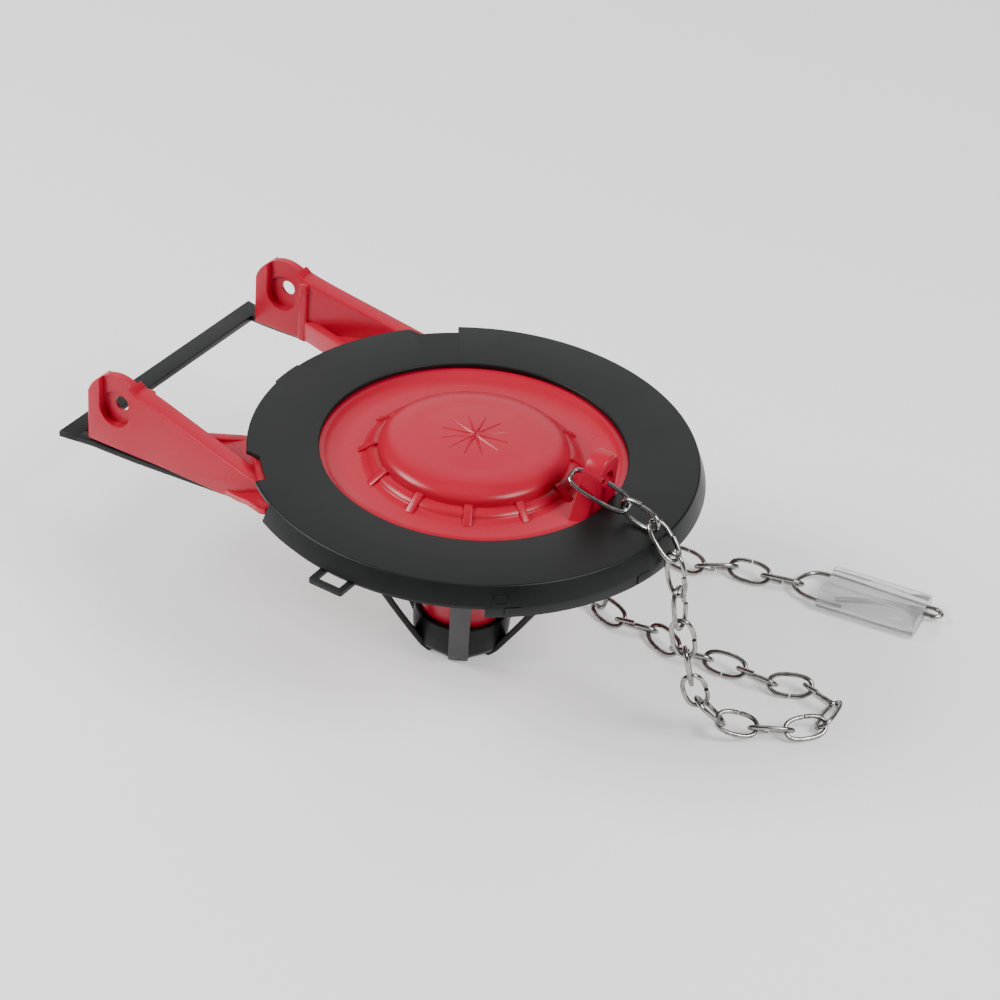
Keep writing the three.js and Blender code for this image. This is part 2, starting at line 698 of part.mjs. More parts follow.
// Side direction of each link: carried along the chain, and level again where the chain lies flat.
function sidesAlong(joints) {
  const side = new THREE.Vector3(-1, 0, 0);
  return joints.slice(1).map((joint, k) => {
    const along = joint.clone().sub(joints[k]).normalize();
    const level = new THREE.Vector3(0, 0, 1).cross(along);
    const share = level.length() ** 4;
    side.addScaledVector(along, -side.dot(along)).normalize();
    if (side.dot(level) < 0) level.negate();
    side.multiplyScalar(1 - share).addScaledVector(level.normalize(), share).normalize();
    return side.clone();
  });
}

// Chain joints as [x, y past the rim, z]: over the rim, down to the ground, out and back under the ring.
const chainJoints = [
  [2.4, -10.1, 3.45], [3.4, -2, 3.45], [5.2, 4.7, -1.8], [6, 6.6, -9.6], [6, 8, -17.6], [4.8, 9.6, -25.5],
  [3, 10.6, -33.4], [0.8, 11.6, -41.2], [-3.4, 14.8, -47.6], [-8.8, 21.6, chainRest],
  [-14, 30.2, chainRest], [-20.9, 34.4, chainRest], [-28.2, 31.4, chainRest], [-28.9, 23.8, chainRest],
  [-26.8, 16.8, chainRest], [-26, 9.8, chainRest], [-25, 1.7, chainRest], [-24.2, -6.2, chainRest],
  [-25.6, -14, chainRest], [-25.6, -21.6, chainRest], [-28.3, -29, chainRest], [-35, -32.6, chainRest],
  [-42.6, -33.8, chainRest], [-50, -31.6, chainRest], [-54, -25.6, chainRest], [-55.2, -18.4, chainRest],
  [-59, -11.4, chainRest], [-60.9, -3.6, chainRest], [-63.2, 4.2, chainRest],
];

function makeChain() {
  const centreLength = chain.pitch + chain.play + 2 * wire.radius;
  const centreWidth = chain.linkWidth - 2 * wire.radius;
  const traced = chainJoints.map(([x, pastRim, z]) => [x, coverRing.rimRadius + pastRim, z]);
  const joints = evenJoints(traced, chain.pitch);
  const sides = sidesAlong(joints);
  const links = joints.slice(1).map((joint, k) => {
    const roll = radians((k % 2 === 0 ? 45 : -45) + (chain.twists[k] ?? 0));
    const name = `chain_link_${String(k + 1).padStart(2, '0')}`;
    return linkMesh(name, joints[k], joint, sides[k], roll, centreLength, centreWidth);
  });
  const [lugJoint] = joints;
  const slope = new THREE.Vector3(0.08, -0.967, 0.24).normalize();
  const lugReach = coverRing.rimRadius - chain.lugLinkRimGap;
  const lugEnd = lugJoint.clone().addScaledVector(slope, lugReach);
  const lugLength = lugReach + fitGap + 2 * wire.radius;
  const lugWidth = chain.lugLinkWidth - 2 * wire.radius;
  links.unshift(linkMesh(
    'lug_link', lugEnd, lugJoint, sides[0], radians(chain.lugLinkRoll), lugLength, lugWidth,
    wire.squareBendPower));
  const [before, end] = joints.slice(-2);
  return { links, end, heading: end.clone().sub(before).normalize() };
}

// Wire clip: a wide eye, two shanks that meet in a small tail loop, both ends inside the sleeve.
function makeClip(mouth, along) {
  const across = new THREE.Vector3(0, 0, 1).cross(along);
  const points = clip.wireRoute.map(([past, aside]) =>
    mouth.clone().addScaledVector(along, past).addScaledVector(across, aside));
  const path = new THREE.CatmullRomCurve3(points, false, 'centripetal');
  const mesh = new THREE.Mesh(wireAlong(path, clip.steps, clip.sides), colours.steel.clone());
  mesh.name = 'chain_clip';
  return mesh;
}

// Clear sleeve: a flattened soft tube lying on the ground round the clip's shanks.
function sleeveSection(halfWidth, bottom, top) {
  const steps = 10;
  const upper = Array.from({ length: steps + 1 }, (_, k) => {
    const angle = Math.PI * k / steps;
    const lift = Math.sin(angle) ** 0.6;
    return [halfWidth * Math.cos(angle), bottom + (top - bottom) * (0.35 + 0.65 * lift)];
  });
  return [...upper, [-halfWidth * 0.9, bottom], [halfWidth * 0.9, bottom]];
}

function makeSleeve(mouth, along) {
  const { width, height, wall, length } = sleeve;
  const hollow = sleeveSection(width / 2 - wall, wall, height - wall);
  const hole = new THREE.Path(hollow.map(([x, y]) => new THREE.Vector2(x, y)));
  const shape = outline(sleeveSection(width / 2, 0, height), [hole]);
  const geometry = new THREE.ExtrudeGeometry(shape, { depth: length, bevelEnabled: false });
  const up = new THREE.Vector3(0, 0, 1);
  const mesh = new THREE.Mesh(geometry, colours.clear);
  mesh.quaternion.setFromRotationMatrix(new THREE.Matrix4().makeBasis(up.clone().cross(along), up, along));
  mesh.position.set(mouth.x, mouth.y, -standHeight);
  mesh.name = 'clip_sleeve';
  return mesh;
}

function named(name, body, material) {
  const mesh = new THREE.Mesh(geometryOf(body), material.clone());
  mesh.name = name;
  return mesh;
}

const flapper = new THREE.Group();
flapper.add(named('cover_ring', makeCoverRing(), colours.black));
flapper.add(named('seal_body', makeSealBody(), colours.red));
flapper.add(named('clamp_frame', makeClampFrame(), colours.black));
flapper.add(named('cage', makeCage(), colours.black));

const { links, end, heading } = makeChain();
links.forEach((link) => flapper.add(link));

// The eye of the clip hangs in the last link; the sleeve lies flat on the ground round both shanks.
const sleeveAlong = new THREE.Vector3(-0.15, 1, 0).normalize();
const sleeveAcross = new THREE.Vector3(0, 0, 1).cross(sleeveAlong);
const [tipAlong, tipAcross] = clip.wireRoute.reduce((tip, point) => (point[0] < tip[0] ? point : tip));
const mouth = end.clone()
  .addScaledVector(heading, -wire.radius - 1.05 * chain.play)
  .addScaledVector(sleeveAlong, -tipAlong)
  .addScaledVector(sleeveAcross, -tipAcross);
mouth.z = -standHeight + sleeve.wall + fitGap + wire.radius;
flapper.add(makeClip(mouth, sleeveAlong));
flapper.add(makeSleeve(mouth, sleeveAlong));

flapper.position.set(0, -footMiddle, standHeight);

export default flapper;
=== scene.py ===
import math

import bmesh
import bpy
from mathutils import Matrix, Vector


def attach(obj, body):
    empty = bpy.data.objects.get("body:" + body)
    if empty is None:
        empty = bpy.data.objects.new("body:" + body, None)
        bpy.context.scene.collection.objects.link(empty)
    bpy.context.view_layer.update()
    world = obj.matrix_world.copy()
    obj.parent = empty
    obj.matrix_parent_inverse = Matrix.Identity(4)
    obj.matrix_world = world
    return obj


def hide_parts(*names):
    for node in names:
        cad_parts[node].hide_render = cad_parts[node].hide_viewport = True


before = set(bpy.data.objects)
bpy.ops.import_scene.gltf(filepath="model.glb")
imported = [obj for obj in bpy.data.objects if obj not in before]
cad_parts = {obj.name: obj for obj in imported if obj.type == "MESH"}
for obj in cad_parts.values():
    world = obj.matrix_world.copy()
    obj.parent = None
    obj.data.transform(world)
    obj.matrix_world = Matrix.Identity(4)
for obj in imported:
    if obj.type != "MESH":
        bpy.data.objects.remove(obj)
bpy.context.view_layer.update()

# Shapes are drawn in millimetres round the middle of the cover ring's top face, and each finished piece
# is then put in the CAD's frame.
standHeight = 52.5
footMiddle = 8.1
toFrame = Matrix.Scale(0.001, 4) @ Matrix.Translation((0, -footMiddle, standHeight))

fitGap = 0.3
turnSteps = 160
wireSteps = 56

# Outlines drawn on a side plane: acrossPlane is (y, z) pushed along +X,
# and backPlane is (x, z) pushed along -Y.
upPlane = Matrix.Identity(4)
acrossPlane = Matrix(((0, 0, 1, 0), (1, 0, 0, 0), (0, 1, 0, 0), (0, 0, 0, 1)))
backPlane = Matrix(((1, 0, 0, 0), (0, 0, -1, 0), (0, 1, 0, 0), (0, 0, 0, 1)))


def polar(radius, degrees):
    angle = math.radians(degrees)
    return (radius * math.cos(angle), radius * math.sin(angle))


def shifted(plane, x=0.0, y=0.0, z=0.0):
    return Matrix.Translation((x, y, z)) @ plane


def softened(points, reach, segments=3, closed=True):
    # each corner becomes a short curve that starts and ends reach away from it, and a dictionary
    # gives single corners a reach of their own
    reaches = reach if isinstance(reach, dict) else {"rest": reach}
    out = []
    count = len(points)
    for k, point in enumerate(points):
        if not closed and k in (0, count - 1):
            out.append(point)
            continue
        here = Vector(point)
        before = Vector(points[k - 1]) - here
        after = Vector(points[(k + 1) % count]) - here
        span = reaches.get(k, reaches["rest"])
        start = here + before.normalized() * min(span, 0.45 * before.length)
        end = here + after.normalized() * min(span, 0.45 * after.length)
        for step in range(segments + 1):
            t = step / segments
            out.append(tuple(start * (1 - t) ** 2 + here * 2 * t * (1 - t) + end * t ** 2))
    return out


def absorb(target, part, mirrored=False):
    mesh = bpy.data.meshes.new("part")
    if mirrored:
        bmesh.ops.scale(part, vec=(-1, 1, 1), verts=part.verts)
        bmesh.ops.recalc_face_normals(part, faces=part.faces)
    part.to_mesh(mesh)
    part.free()
    target.from_mesh(mesh)
    bpy.data.meshes.remove(mesh)


def swung(part, degrees, axis="Z", middle=(0, 0, 0)):
    turn = Matrix.Rotation(math.radians(degrees), 3, axis)
    bmesh.ops.rotate(part, cent=middle, verts=part.verts, matrix=turn)
    return part


def bevelSharp(part, width, segments=2, angle=32):
    limit = math.radians(angle)
    sharp = [e for e in part.edges if len(e.link_faces) == 2 and e.calc_face_angle(0) > limit]
    bmesh.ops.bevel(
        part, geom=sharp, offset=width, segments=segments, profile=0.5, affect="EDGES",
        material=-1, clamp_overlap=True)


def turned(profile, steps=turnSteps, start=0.0, sweep=360.0, closed=True):
    part = bmesh.new()
    turn = Matrix.Rotation(math.radians(start), 4, "Z")
    verts = [part.verts.new(turn @ Vector((r, 0, z))) for r, z in profile]
    pairs = list(zip(verts, verts[1:]))
    if closed:
        pairs.append((verts[-1], verts[0]))
    edges = [part.edges.new(pair) for pair in pairs]
    full = sweep >= 360
    bmesh.ops.spin(
        part, geom=verts + edges, cent=(0, 0, 0), axis=(0, 0, 1), angle=math.radians(sweep),
        steps=steps, use_merge=full, use_duplicate=False)
    bmesh.ops.remove_doubles(part, verts=part.verts, dist=1e-4)
    if not full:
        bmesh.ops.holes_fill(part, edges=part.edges, sides=0)
    bmesh.ops.recalc_face_normals(part, faces=part.faces)
    return part


def plate(loops, plane, depth, bevel=0.0, segments=2):
    # a flat shape, its first loop the edge and the others holes, pushed to a thickness
    part = bmesh.new()
    edges = []
    for loop in loops:
        verts = [part.verts.new((u, v, 0)) for u, v in loop]
        edges += [part.edges.new(pair) for pair in zip(verts, verts[1:] + verts[:1])]
    if len(loops) == 1:
        part.faces.new(list(part.verts))
    else:
        bmesh.ops.triangle_fill(part, edges=edges, use_beauty=True, use_dissolve=False)
    made = bmesh.ops.extrude_face_region(part, geom=part.faces[:] + part.edges[:] + part.verts[:])
    moved = [item for item in made["geom"] if isinstance(item, bmesh.types.BMVert)]
    bmesh.ops.translate(part, verts=moved, vec=(0, 0, depth))
    bmesh.ops.recalc_face_normals(part, faces=part.faces)
    if bevel:
        bevelSharp(part, bevel, segments)
    bmesh.ops.transform(part, matrix=plane, verts=part.verts)
    bmesh.ops.recalc_face_normals(part, faces=part.faces)
    return part


def evaluated(obj):
    return bpy.data.meshes.new_from_object(obj.evaluated_get(bpy.context.evaluated_depsgraph_get()))


def lofted(sections):
    # four-cornered sections joined into one bar, with both ends closed and its edges eased
    bar = bmesh.new()
    rows = [[bar.verts.new(corner) for corner in section] for section in sections]
    loops = [[bar.edges.new((row[k], row[(k + 1) % 4])) for k in range(4)] for row in rows]
    for first, second in zip(loops, loops[1:]):
        bmesh.ops.bridge_loops(bar, edges=first + second)
    bmesh.ops.holes_fill(bar, edges=bar.edges, sides=4)
    bmesh.ops.recalc_face_normals(bar, faces=bar.faces)
    bevelSharp(bar, 0.25, 2, 40)
    return bar


def carved(part, cutter):
    made = []
    for source in (part, cutter):
        mesh = bpy.data.meshes.new("carving")
        source.to_mesh(mesh)
        source.free()
        made.append(bpy.data.objects.new("carving", mesh))
        bpy.context.scene.collection.objects.link(made[-1])
    cut = made[0].modifiers.new("cut", "BOOLEAN")
    cut.object = made[1]
    cut.operation = "DIFFERENCE"
    cut.solver = "EXACT"
    result = evaluated(made[0])
    out = bmesh.new()
    out.from_mesh(result)
    for obj in made:
        mesh = obj.data
        bpy.data.objects.remove(obj)
        bpy.data.meshes.remove(mesh)
    bpy.data.meshes.remove(result)
    return out


def wire(points, radius, sides=12):
    # a round wire along a line of points, with flat ends
    curve = bpy.data.curves.new("wire", "CURVE")
    curve.dimensions = "3D"
    curve.bevel_depth = radius
    curve.bevel_resolution = sides // 4 - 1
    curve.use_fill_caps = True
    line = curve.splines.new("POLY")
    line.points.add(len(points) - 1)
    for spot, point in zip(line.points, points):
        spot.co = (*point, 1)
    obj = bpy.data.objects.new("wire", curve)
    bpy.context.scene.collection.objects.link(obj)
    mesh = evaluated(obj)
    part = bmesh.new()
    part.from_mesh(mesh)
    bpy.data.objects.remove(obj)
    bpy.data.curves.remove(curve)
    bpy.data.meshes.remove(mesh)
    bmesh.ops.remove_doubles(part, verts=part.verts, dist=1e-4)
    bmesh.ops.recalc_face_normals(part, faces=part.faces)
    return part


def finishPiece(name, part, material, nodes, smoothAngle=35):
    bmesh.ops.transform(part, matrix=toFrame, verts=part.verts)
    mesh = bpy.data.meshes.new(name)
    part.to_mesh(mesh)
    part.free()
    mesh.shade_smooth()
    mesh.set_sharp_from_angle(angle=math.radians(smoothAngle))
    mesh.materials.append(material)
    obj = bpy.data.objects.new(name, mesh)
    bpy.context.scene.collection.objects.link(obj)
    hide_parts(*nodes)
    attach(obj, "root")
    return obj


# materials

def linear(hexColour):
    channels = [int(hexColour[k:k + 2], 16) / 255 for k in (1, 3, 5)]
    return tuple(c / 12.92 if c <= 0.04045 else ((c + 0.055) / 1.055) ** 2.4 for c in channels) + (1,)


def perMetre(millimetres):
    return 1000 / millimetres


def addNode(tree, kind, settings=None, links=None):
    made = tree.nodes.new(kind)
    for key, value in (settings or {}).items():
        if isinstance(key, int) or key in made.inputs:
            made.inputs[key].default_value = value
        else:
            setattr(made, key, value)
    for key, source in (links or {}).items():
        tree.links.new(source, made.inputs[key])
    return made


def newMaterial(name, shaderSettings):
    material = bpy.data.materials.new(name)
    material.use_nodes = True
    tree = material.node_tree
    tree.nodes.clear()
    shader = addNode(tree, "ShaderNodeBsdfPrincipled", shaderSettings)
    addNode(tree, "ShaderNodeOutputMaterial", {}, {"Surface": shader.outputs["BSDF"]})
    place = addNode(tree, "ShaderNodeTexCoord").outputs["Object"]
    return material, tree, shader, place


def makeMaterial(name, made):
    # soft patches blend two colours and set the roughness, and a fine grain raises the surface
    material, tree, shader, place = newMaterial(name, made["shader"])
    patch = addNode(
        tree, "ShaderNodeTexNoise", {"Scale": perMetre(made["patchMm"]), "Detail": made["patchDetail"]},
        {"Vector": place})
    grain = addNode(
        tree, "ShaderNodeTexNoise", {"Scale": perMetre(made["grainMm"]), "Detail": 2}, {"Vector": place})
    shares = {}
    for use, (low, high), (outLow, outHigh) in (
            ("tint", made["tintRange"], (0, 1)), ("rough", made["roughRange"], made["roughness"])):
        ranged = addNode(
            tree, "ShaderNodeMapRange",
            {"From Min": low, "From Max": high, "To Min": outLow, "To Max": outHigh},
            {"Value": patch.outputs["Fac"]})
        shares[use] = ranged.outputs["Result"]
    tint = addNode(
        tree, "ShaderNodeMix",
        {"data_type": "RGBA", 6: linear(made["colours"][0]), 7: linear(made["colours"][1])},
        {0: shares["tint"]})
    height = grain.outputs["Fac"]
    if "streakMm" in made:
        height = addStreaks(tree, place, height, made)
    bump = addNode(
        tree, "ShaderNodeBump", {"Strength": made["bump"], "Distance": made["bumpMm"] / 1000},
        {"Height": height})
    tree.links.new(tint.outputs[2], shader.inputs["Base Color"])
    tree.links.new(shares["rough"], shader.inputs["Roughness"])
    tree.links.new(bump.outputs["Normal"], shader.inputs["Normal"])
    return material


def addStreaks(tree, place, height, made):
    # draw marks of the tool run up the skirt, so the pattern is wound round the ring's axis
    parts = addNode(tree, "ShaderNodeSeparateXYZ", {}, {0: place})
    depth = addNode(
        tree, "ShaderNodeMath", {"operation": "ADD", 1: footMiddle / 1000}, {0: parts.outputs["Y"]})
    angle = addNode(
        tree, "ShaderNodeMath", {"operation": "ARCTAN2"}, {0: depth.outputs[0], 1: parts.outputs["X"]})
    wound = addNode(tree, "ShaderNodeCombineXYZ", {}, {0: angle.outputs[0]})
    fine = addNode(
        tree, "ShaderNodeTexNoise", {"Scale": made["woundRadiusMm"] / made["streakMm"], "Detail": 3},
        {"Vector": wound.outputs[0]})
    both = addNode(tree, "ShaderNodeMath", {"operation": "ADD"}, {0: height, 1: fine.outputs["Fac"]})
    return both.outputs[0]


# Polypropylene, injection moulded against a fine matt tool: nearly black, with a soft grey sheen.
polypropyleneFrame = {
    "shader": {"IOR": 1.49, "Roughness": 0.4, "Specular IOR Level": 0.2},
    "colours": ("#181919", "#1f2020"),
    "patchMm": 14,
    "patchDetail": 4,
    "tintRange": (0.35, 0.65),
    "roughRange": (0.3, 0.7),
    "roughness": (0.34, 0.46),
    "grainMm": 0.35,  # coarser than the real tool marks, so that it shows
    "bump": 0.12,
    "bumpMm": 0.08,
}
# The same plastic in the ring's deeper black, with fine draw marks up its skirt.
polypropyleneRing = polypropyleneFrame | {
    "shader": {"IOR": 1.49, "Roughness": 0.4, "Specular IOR Level": 0.22},
    "colours": ("#0e0f0f", "#151616"),
    "streakMm": 0.8,
    "woundRadiusMm": 50,
}
# Nitrile rubber, compression moulded and dyed red through: satin, with a pale bloom where it is rubbed.
nitrileRubber = {
    "shader": {"IOR": 1.52, "Roughness": 0.3, "Specular IOR Level": 0.24},
    "colours": ("#a50c27", "#a8152e"),
    "patchMm": 14,
    "patchDetail": 2,
    "tintRange": (0.2, 0.8),
    "roughRange": (0.2, 0.8),
    "roughness": (0.26, 0.31),
    "grainMm": 0.3,  # coarser than the real mould grain, so that it shows
    "bump": 0.1,
    "bumpMm": 0.06,
}
# Stainless steel wire, drawn and tumbled bright: sharp reflections, with darker patches of painted
# reflection that stand in for the dark surroundings the wire mirrors.
drawnSteel = {
    "shader": {"Metallic": 1.0, "Roughness": 0.2},
    # the second colour is painted reflection: dark patches for the dark surroundings seen in the wire
    "colours": ("#999896", "#5f5e5b"),
    "patchMm": 1.6,
    "patchDetail": 4,
    "tintRange": (0.45, 0.75),
    "roughRange": (0.35, 0.7),
    "roughness": (0.12, 0.3),
    "grainMm": 0.25,  # coarser than real draw marks, so that it shows
    "bump": 0.08,
    "bumpMm": 0.05,
}
# Plasticised PVC, extruded clear: glassy, with a faint cloudy haze from handling and soft waves.
clearPvc = {
    "shader": {"IOR": 1.47, "Transmission Weight": 0.86, "Roughness": 0.04},
    "colours": ("#ffffff", "#fafafa"),
    "patchMm": 3.5,
    "patchDetail": 3,
    "tintRange": (0.4, 0.7),
    "roughRange": (0.3, 0.7),
    "roughness": (0.01, 0.05),
    "grainMm": 2.2,  # the slow waves of an extruded wall
    "bump": 0.1,
    "bumpMm": 0.2,
}

ringPlastic = makeMaterial("polypropyleneRing", polypropyleneRing)
framePlastic = makeMaterial("polypropyleneFrame", polypropyleneFrame)
redRubber = makeMaterial("nitrileRubber", nitrileRubber)
brightWire = makeMaterial("drawnSteel", drawnSteel)
clearTube = makeMaterial("clearPvc", clearPvc)
print("materials made")

# cover ring
coverRing = {
    "boreRadius": 34.1,
    "rimRadius": 50.0,
    "skirtFlare": 1.7,
    "plate": 1.1,
    "skirtDrop": 4.5,
    "skirtWall": 1.3,
    "edgeRound": 0.4,
    "skirtOpenNear": 62.4,
    "skirtOpenFar": 60.6,
    "notchInnerX": 31.5,
    "notchOuterAngle": 52.6,
    "notchDepth": 2.7,
    "rearTab": (-94, 9.5),
    "rearTabReach": 0.7,
    "windowAngles": (37.6, 41.6),
    "windowZ": (-4.1, -1.9),
    "windowBar": 0.5,
    "windowLift": 0.12,
    "windowSink": 0.3,
}


def makeCoverRing():
    made = coverRing
    bore, rim, drop = made["boreRadius"], made["rimRadius"], made["skirtDrop"]
    thick, wall = made["plate"], made["skirtWall"]
    foot = rim + made["skirtFlare"]
    edge = made["edgeRound"]
    nearAngle = -90 + made["skirtOpenNear"]
    farAngle = 270 - made["skirtOpenFar"]
    full = softened(
        [(bore, -thick), (bore, 0), (rim, 0), (foot, -drop), (foot - wall, -drop), (rim - wall, -thick)],
        {"rest": 0.2, 1: edge, 2: edge, 5: 0.5}, 4)
    ring = turned(full, turnSteps, nearAngle, farAngle - nearAngle)
    bare = softened([(bore, -thick), (bore, 0), (rim, 0), (rim, -thick)], {"rest": 0.2, 1: edge, 2: edge}, 4)
    rear = turned(bare, turnSteps // 2, farAngle - 360, nearAngle - farAngle + 360)
    # the two notches at the hinge side, with cutters that reach well past the rim
    floorRadius = rim - made["notchDepth"]
    innerX = made["notchInnerX"]
    for side in (1, -1):
        corner = made["notchOuterAngle"] - 90
        outline = [(innerX, -math.sqrt(floorRadius ** 2 - innerX ** 2)), (innerX, -rim * 1.1)]
        outline += [polar(rim * 1.12, corner)]
        outline += [polar(floorRadius, corner - turn) for turn in (0, 3.5, 7)]
        outline = [(side * x, y) for x, y in outline]
        if side < 0:
            outline.reverse()
        rear = carved(rear, plate([outline], shifted(upPlane, z=-5), 10))
    bmesh.ops.remove_doubles(rear, verts=rear.verts, dist=1e-3)
    absorb(ring, rear)
    start, sweep = made["rearTab"]
    reach = rim + made["rearTabReach"]
    tabInner, tabFoot = rim - 1.2, 0.02 - thick
    tab = softened([(tabInner, tabFoot), (tabInner, -edge), (reach, -edge), (reach, tabFoot)], 0.25, 3)
    absorb(ring, turned(tab, 12, start, sweep))
    # a small raised frame stands on the skirt, four bars with their backs sunk into it
    low, high = made["windowZ"]
    first, last = made["windowAngles"]
    bar, lift, sink = made["windowBar"], made["windowLift"], made["windowSink"]
    barSweep = math.degrees(bar / rim)
    span = last - first
    for bottom, up, at, width in (
            (low, low + bar, first, span), (high - bar, high, first, span),
            (low, high, first, barSweep), (low, high, last - barSweep, barSweep)):
        lower, upper = [rim - z * made["skirtFlare"] / drop for z in (bottom, up)]
        section = [(lower - sink, bottom), (lower + lift, bottom), (upper + lift, up), (upper - sink, up)]
        absorb(ring, turned(softened(section, 0.06, 2), 6, at, width))
    return ring


finishPiece("coverRing", makeCoverRing(), ringPlastic, ["cover_ring"])
print("cover ring made")

# seal body: disc, dome and float cone in one turning, then ribs, star, ears, arms and lug
disc = {
    "top": -1.4,
    "bottom": -4.5,
    "radius": 48.35,
    "floorZ": -3.0,
    "floorRadius": 29.5,
    "riseRadius": 33.4,
}
dome = {
    "shoulderStart": 13.0,
    "rollReach": 3.1,
    "rollHeight": 2.2,
    "swellPower": 0.92,
    "rimRadius": 21.2,
    "rimZ": 1.9,
    "crownZ": 3.7,
    "ribCount": 12,
    "ribThickness": 1.8,
    "ribShape": ((20.4, -0.2), (22.0, -0.2), (25.6, -2.8), (25.6, -3.4), (20.4, -3.4)),
    "starRays": 12,
    "starRadius": 7.6,
    "starRayWidth": 1.15,
    "starHeight": 0.3,
    "starWideRadius": 1.6,
    "starTipHalf": 0.06,
    "starSink": 0.12,
}
cone = {
    "topRadius": 26.8,
    "bulbRadius": 9.3,
    "bulbZ": -43.0,
    "shoulderZ": -46.5,
    "endRadius": 5.5,
    "endZ": -48.6,
    "drainRadius": 2.6,
    "wall": 2.0,
}


def crownHeight(radius):
    return dome["crownZ"] - (dome["crownZ"] - dome["rimZ"]) * (radius / dome["rimRadius"]) ** 2


def swell(radius, height, reach, rise, start, end, steps):
    # part of a well filled quarter round, from start to end degrees off upright
    power = dome["swellPower"]
    angles = [math.radians(start + (end - start) * k / steps) for k in range(steps + 1)]
    return [(radius + reach * math.sin(a) ** power, height + rise * math.cos(a) ** power) for a in angles]


def makeSealTurning():
    wall = cone["wall"]
    rim = dome["rimRadius"]
    crown = [(r, crownHeight(r)) for r in (0, 3, 6, 9, 12)]
    flat = dome["shoulderStart"]
    crown += swell(flat, 0, rim - flat, crownHeight(flat) + 0.02, 0, 90, 12)
    crown += swell(rim - 0.5, disc["floorZ"], dome["rollReach"], dome["rollHeight"], 10, 72, 8)
    outer = [
        (25.0, disc["floorZ"] + 0.1),
        (disc["floorRadius"], disc["floorZ"]), (32, -2.3), (disc["riseRadius"], disc["top"]),
        (disc["radius"], disc["top"]), (disc["radius"], disc["bottom"]), (cone["topRadius"], disc["bottom"]),
        (cone["bulbRadius"], cone["bulbZ"]), (cone["bulbRadius"], cone["shoulderZ"]),
        (cone["endRadius"], cone["endZ"]), (cone["drainRadius"], cone["endZ"]),
        (cone["drainRadius"], cone["endZ"] + wall),
        (cone["bulbRadius"] - wall, cone["shoulderZ"] + wall / 2),
        (cone["bulbRadius"] - wall, cone["bulbZ"]),
        (cone["topRadius"] - 2 * wall, disc["bottom"] - 1.5 * wall), (rim - 1.5, disc["floorZ"]),
        (rim - wall, -0.4), (rim - 2 * wall, dome["rimZ"] - wall / 2), (0, dome["crownZ"] - wall),
    ]
    first = len(crown)
    reaches = {"rest": 0.5, first - 1: 0.4, first + 1: 1.0, first + 2: 1.0, first + 3: 0.8}
    reaches.update({k: 0 for k in range(first - 1)})
    line = crown + outer
    profile = []
    for point in softened(line, reaches, 5, closed=False):
        if not profile or (Vector(point) - Vector(profile[-1])).length > 1e-3:
            profile.append(point)
    return turned(profile, turnSteps, closed=False)


def makeRib(k):
    half = dome["ribThickness"] / 2
    rib = plate([dome["ribShape"]], shifted(backPlane, y=half), 2 * half, 0.14, 2)
    return swung(rib, 360 * k / dome["ribCount"])


def makeRay(k):
    # a slim ridge, widest a little out from the middle, that falls and narrows to a point
    half, reach = dome["starRayWidth"] / 2, dome["starRadius"]
    wide, tip = dome["starWideRadius"], dome["starTipHalf"]
    near = [(0.2, -half / 2), (wide, -half), (reach, -tip)]
    ray = plate([near + [(x, -y) for x, y in reversed(near)]], upPlane, 1)
    for vert in ray.verts:
        radius = math.hypot(vert.co.x, vert.co.y)
        lift = dome["starHeight"] * (1 - 0.55 * radius / reach)
        vert.co.y *= 1 - 0.85 * vert.co.z
        vert.co.z = crownHeight(radius) + (lift if vert.co.z > 0.5 else -dome["starSink"])
    return swung(ray, 360 * (k + 0.5) / dome["starRays"])


ear = {
    "innerX": 29.2,
    "thickness": 4.5,
    "holeY": -73.8,
    "holeZ": -3.2,
    "headRadius": 8.4,
    "headShift": 0.5,
    "rearReach": 7.6,
    "frontReach": 7.6,
    "bottomDrop": 10.5,
    "bottomRise": 0.5,
    "boreRadius": 4.2,
    "throughRadius": 1.8,
    "throughShift": (0.8, 1.3),
    "webThickness": 0.6,
    "grooveDepth": 1.4,
    "ribWidth": 2.0,
    "ribReach": 0.8,
    "edge": 0.45,
}
arm = {
    "thickness": 4.1,
    "bendY": -69.3,
    "bendRun": 9.0,
    "splayAngle": 5.2,
    "rootY": -68.0,
    "tipY": -29.0,
    "rootTopZ": 3.1,
    "ringY": -36.0,
    "ringTopZ": -3.0,
    "ringBottomZ": -10.4,
    "wallThickness": 2.4,
    "wallTurn": -21.0,
    "wallRootTopZ": -7.8,
    "wallEndTopZ": -5.0,
    "wallReach": 26.0,
    "floorThickness": 1.4,
    "fanEdge": (
        (35.4, -42, -11.1), (37.4, -37, -9.7), (40.4, -32, -6.9), (43.2, -26.6, -5.2), (43.3, -25, -4.7)),
    "fanThickness": 1.5,
    "fanInset": 5.0,
    "fanInnerX": 32.0,
}


def circle(x, y, radius, count=40):
    angles = [2 * math.pi * k / count for k in range(count)]
    return [(x + radius * math.cos(a), y + radius * math.sin(a)) for a in angles]


def recessed(body, loop, inner, thick, depth):
    # the same recess from both faces of an upright plate
    for near, far in ((inner - 1, inner + depth), (inner + thick - depth, inner + thick + 1)):
        body = carved(body, plate([loop], shifted(acrossPlane, x=near), far - near))
    return body


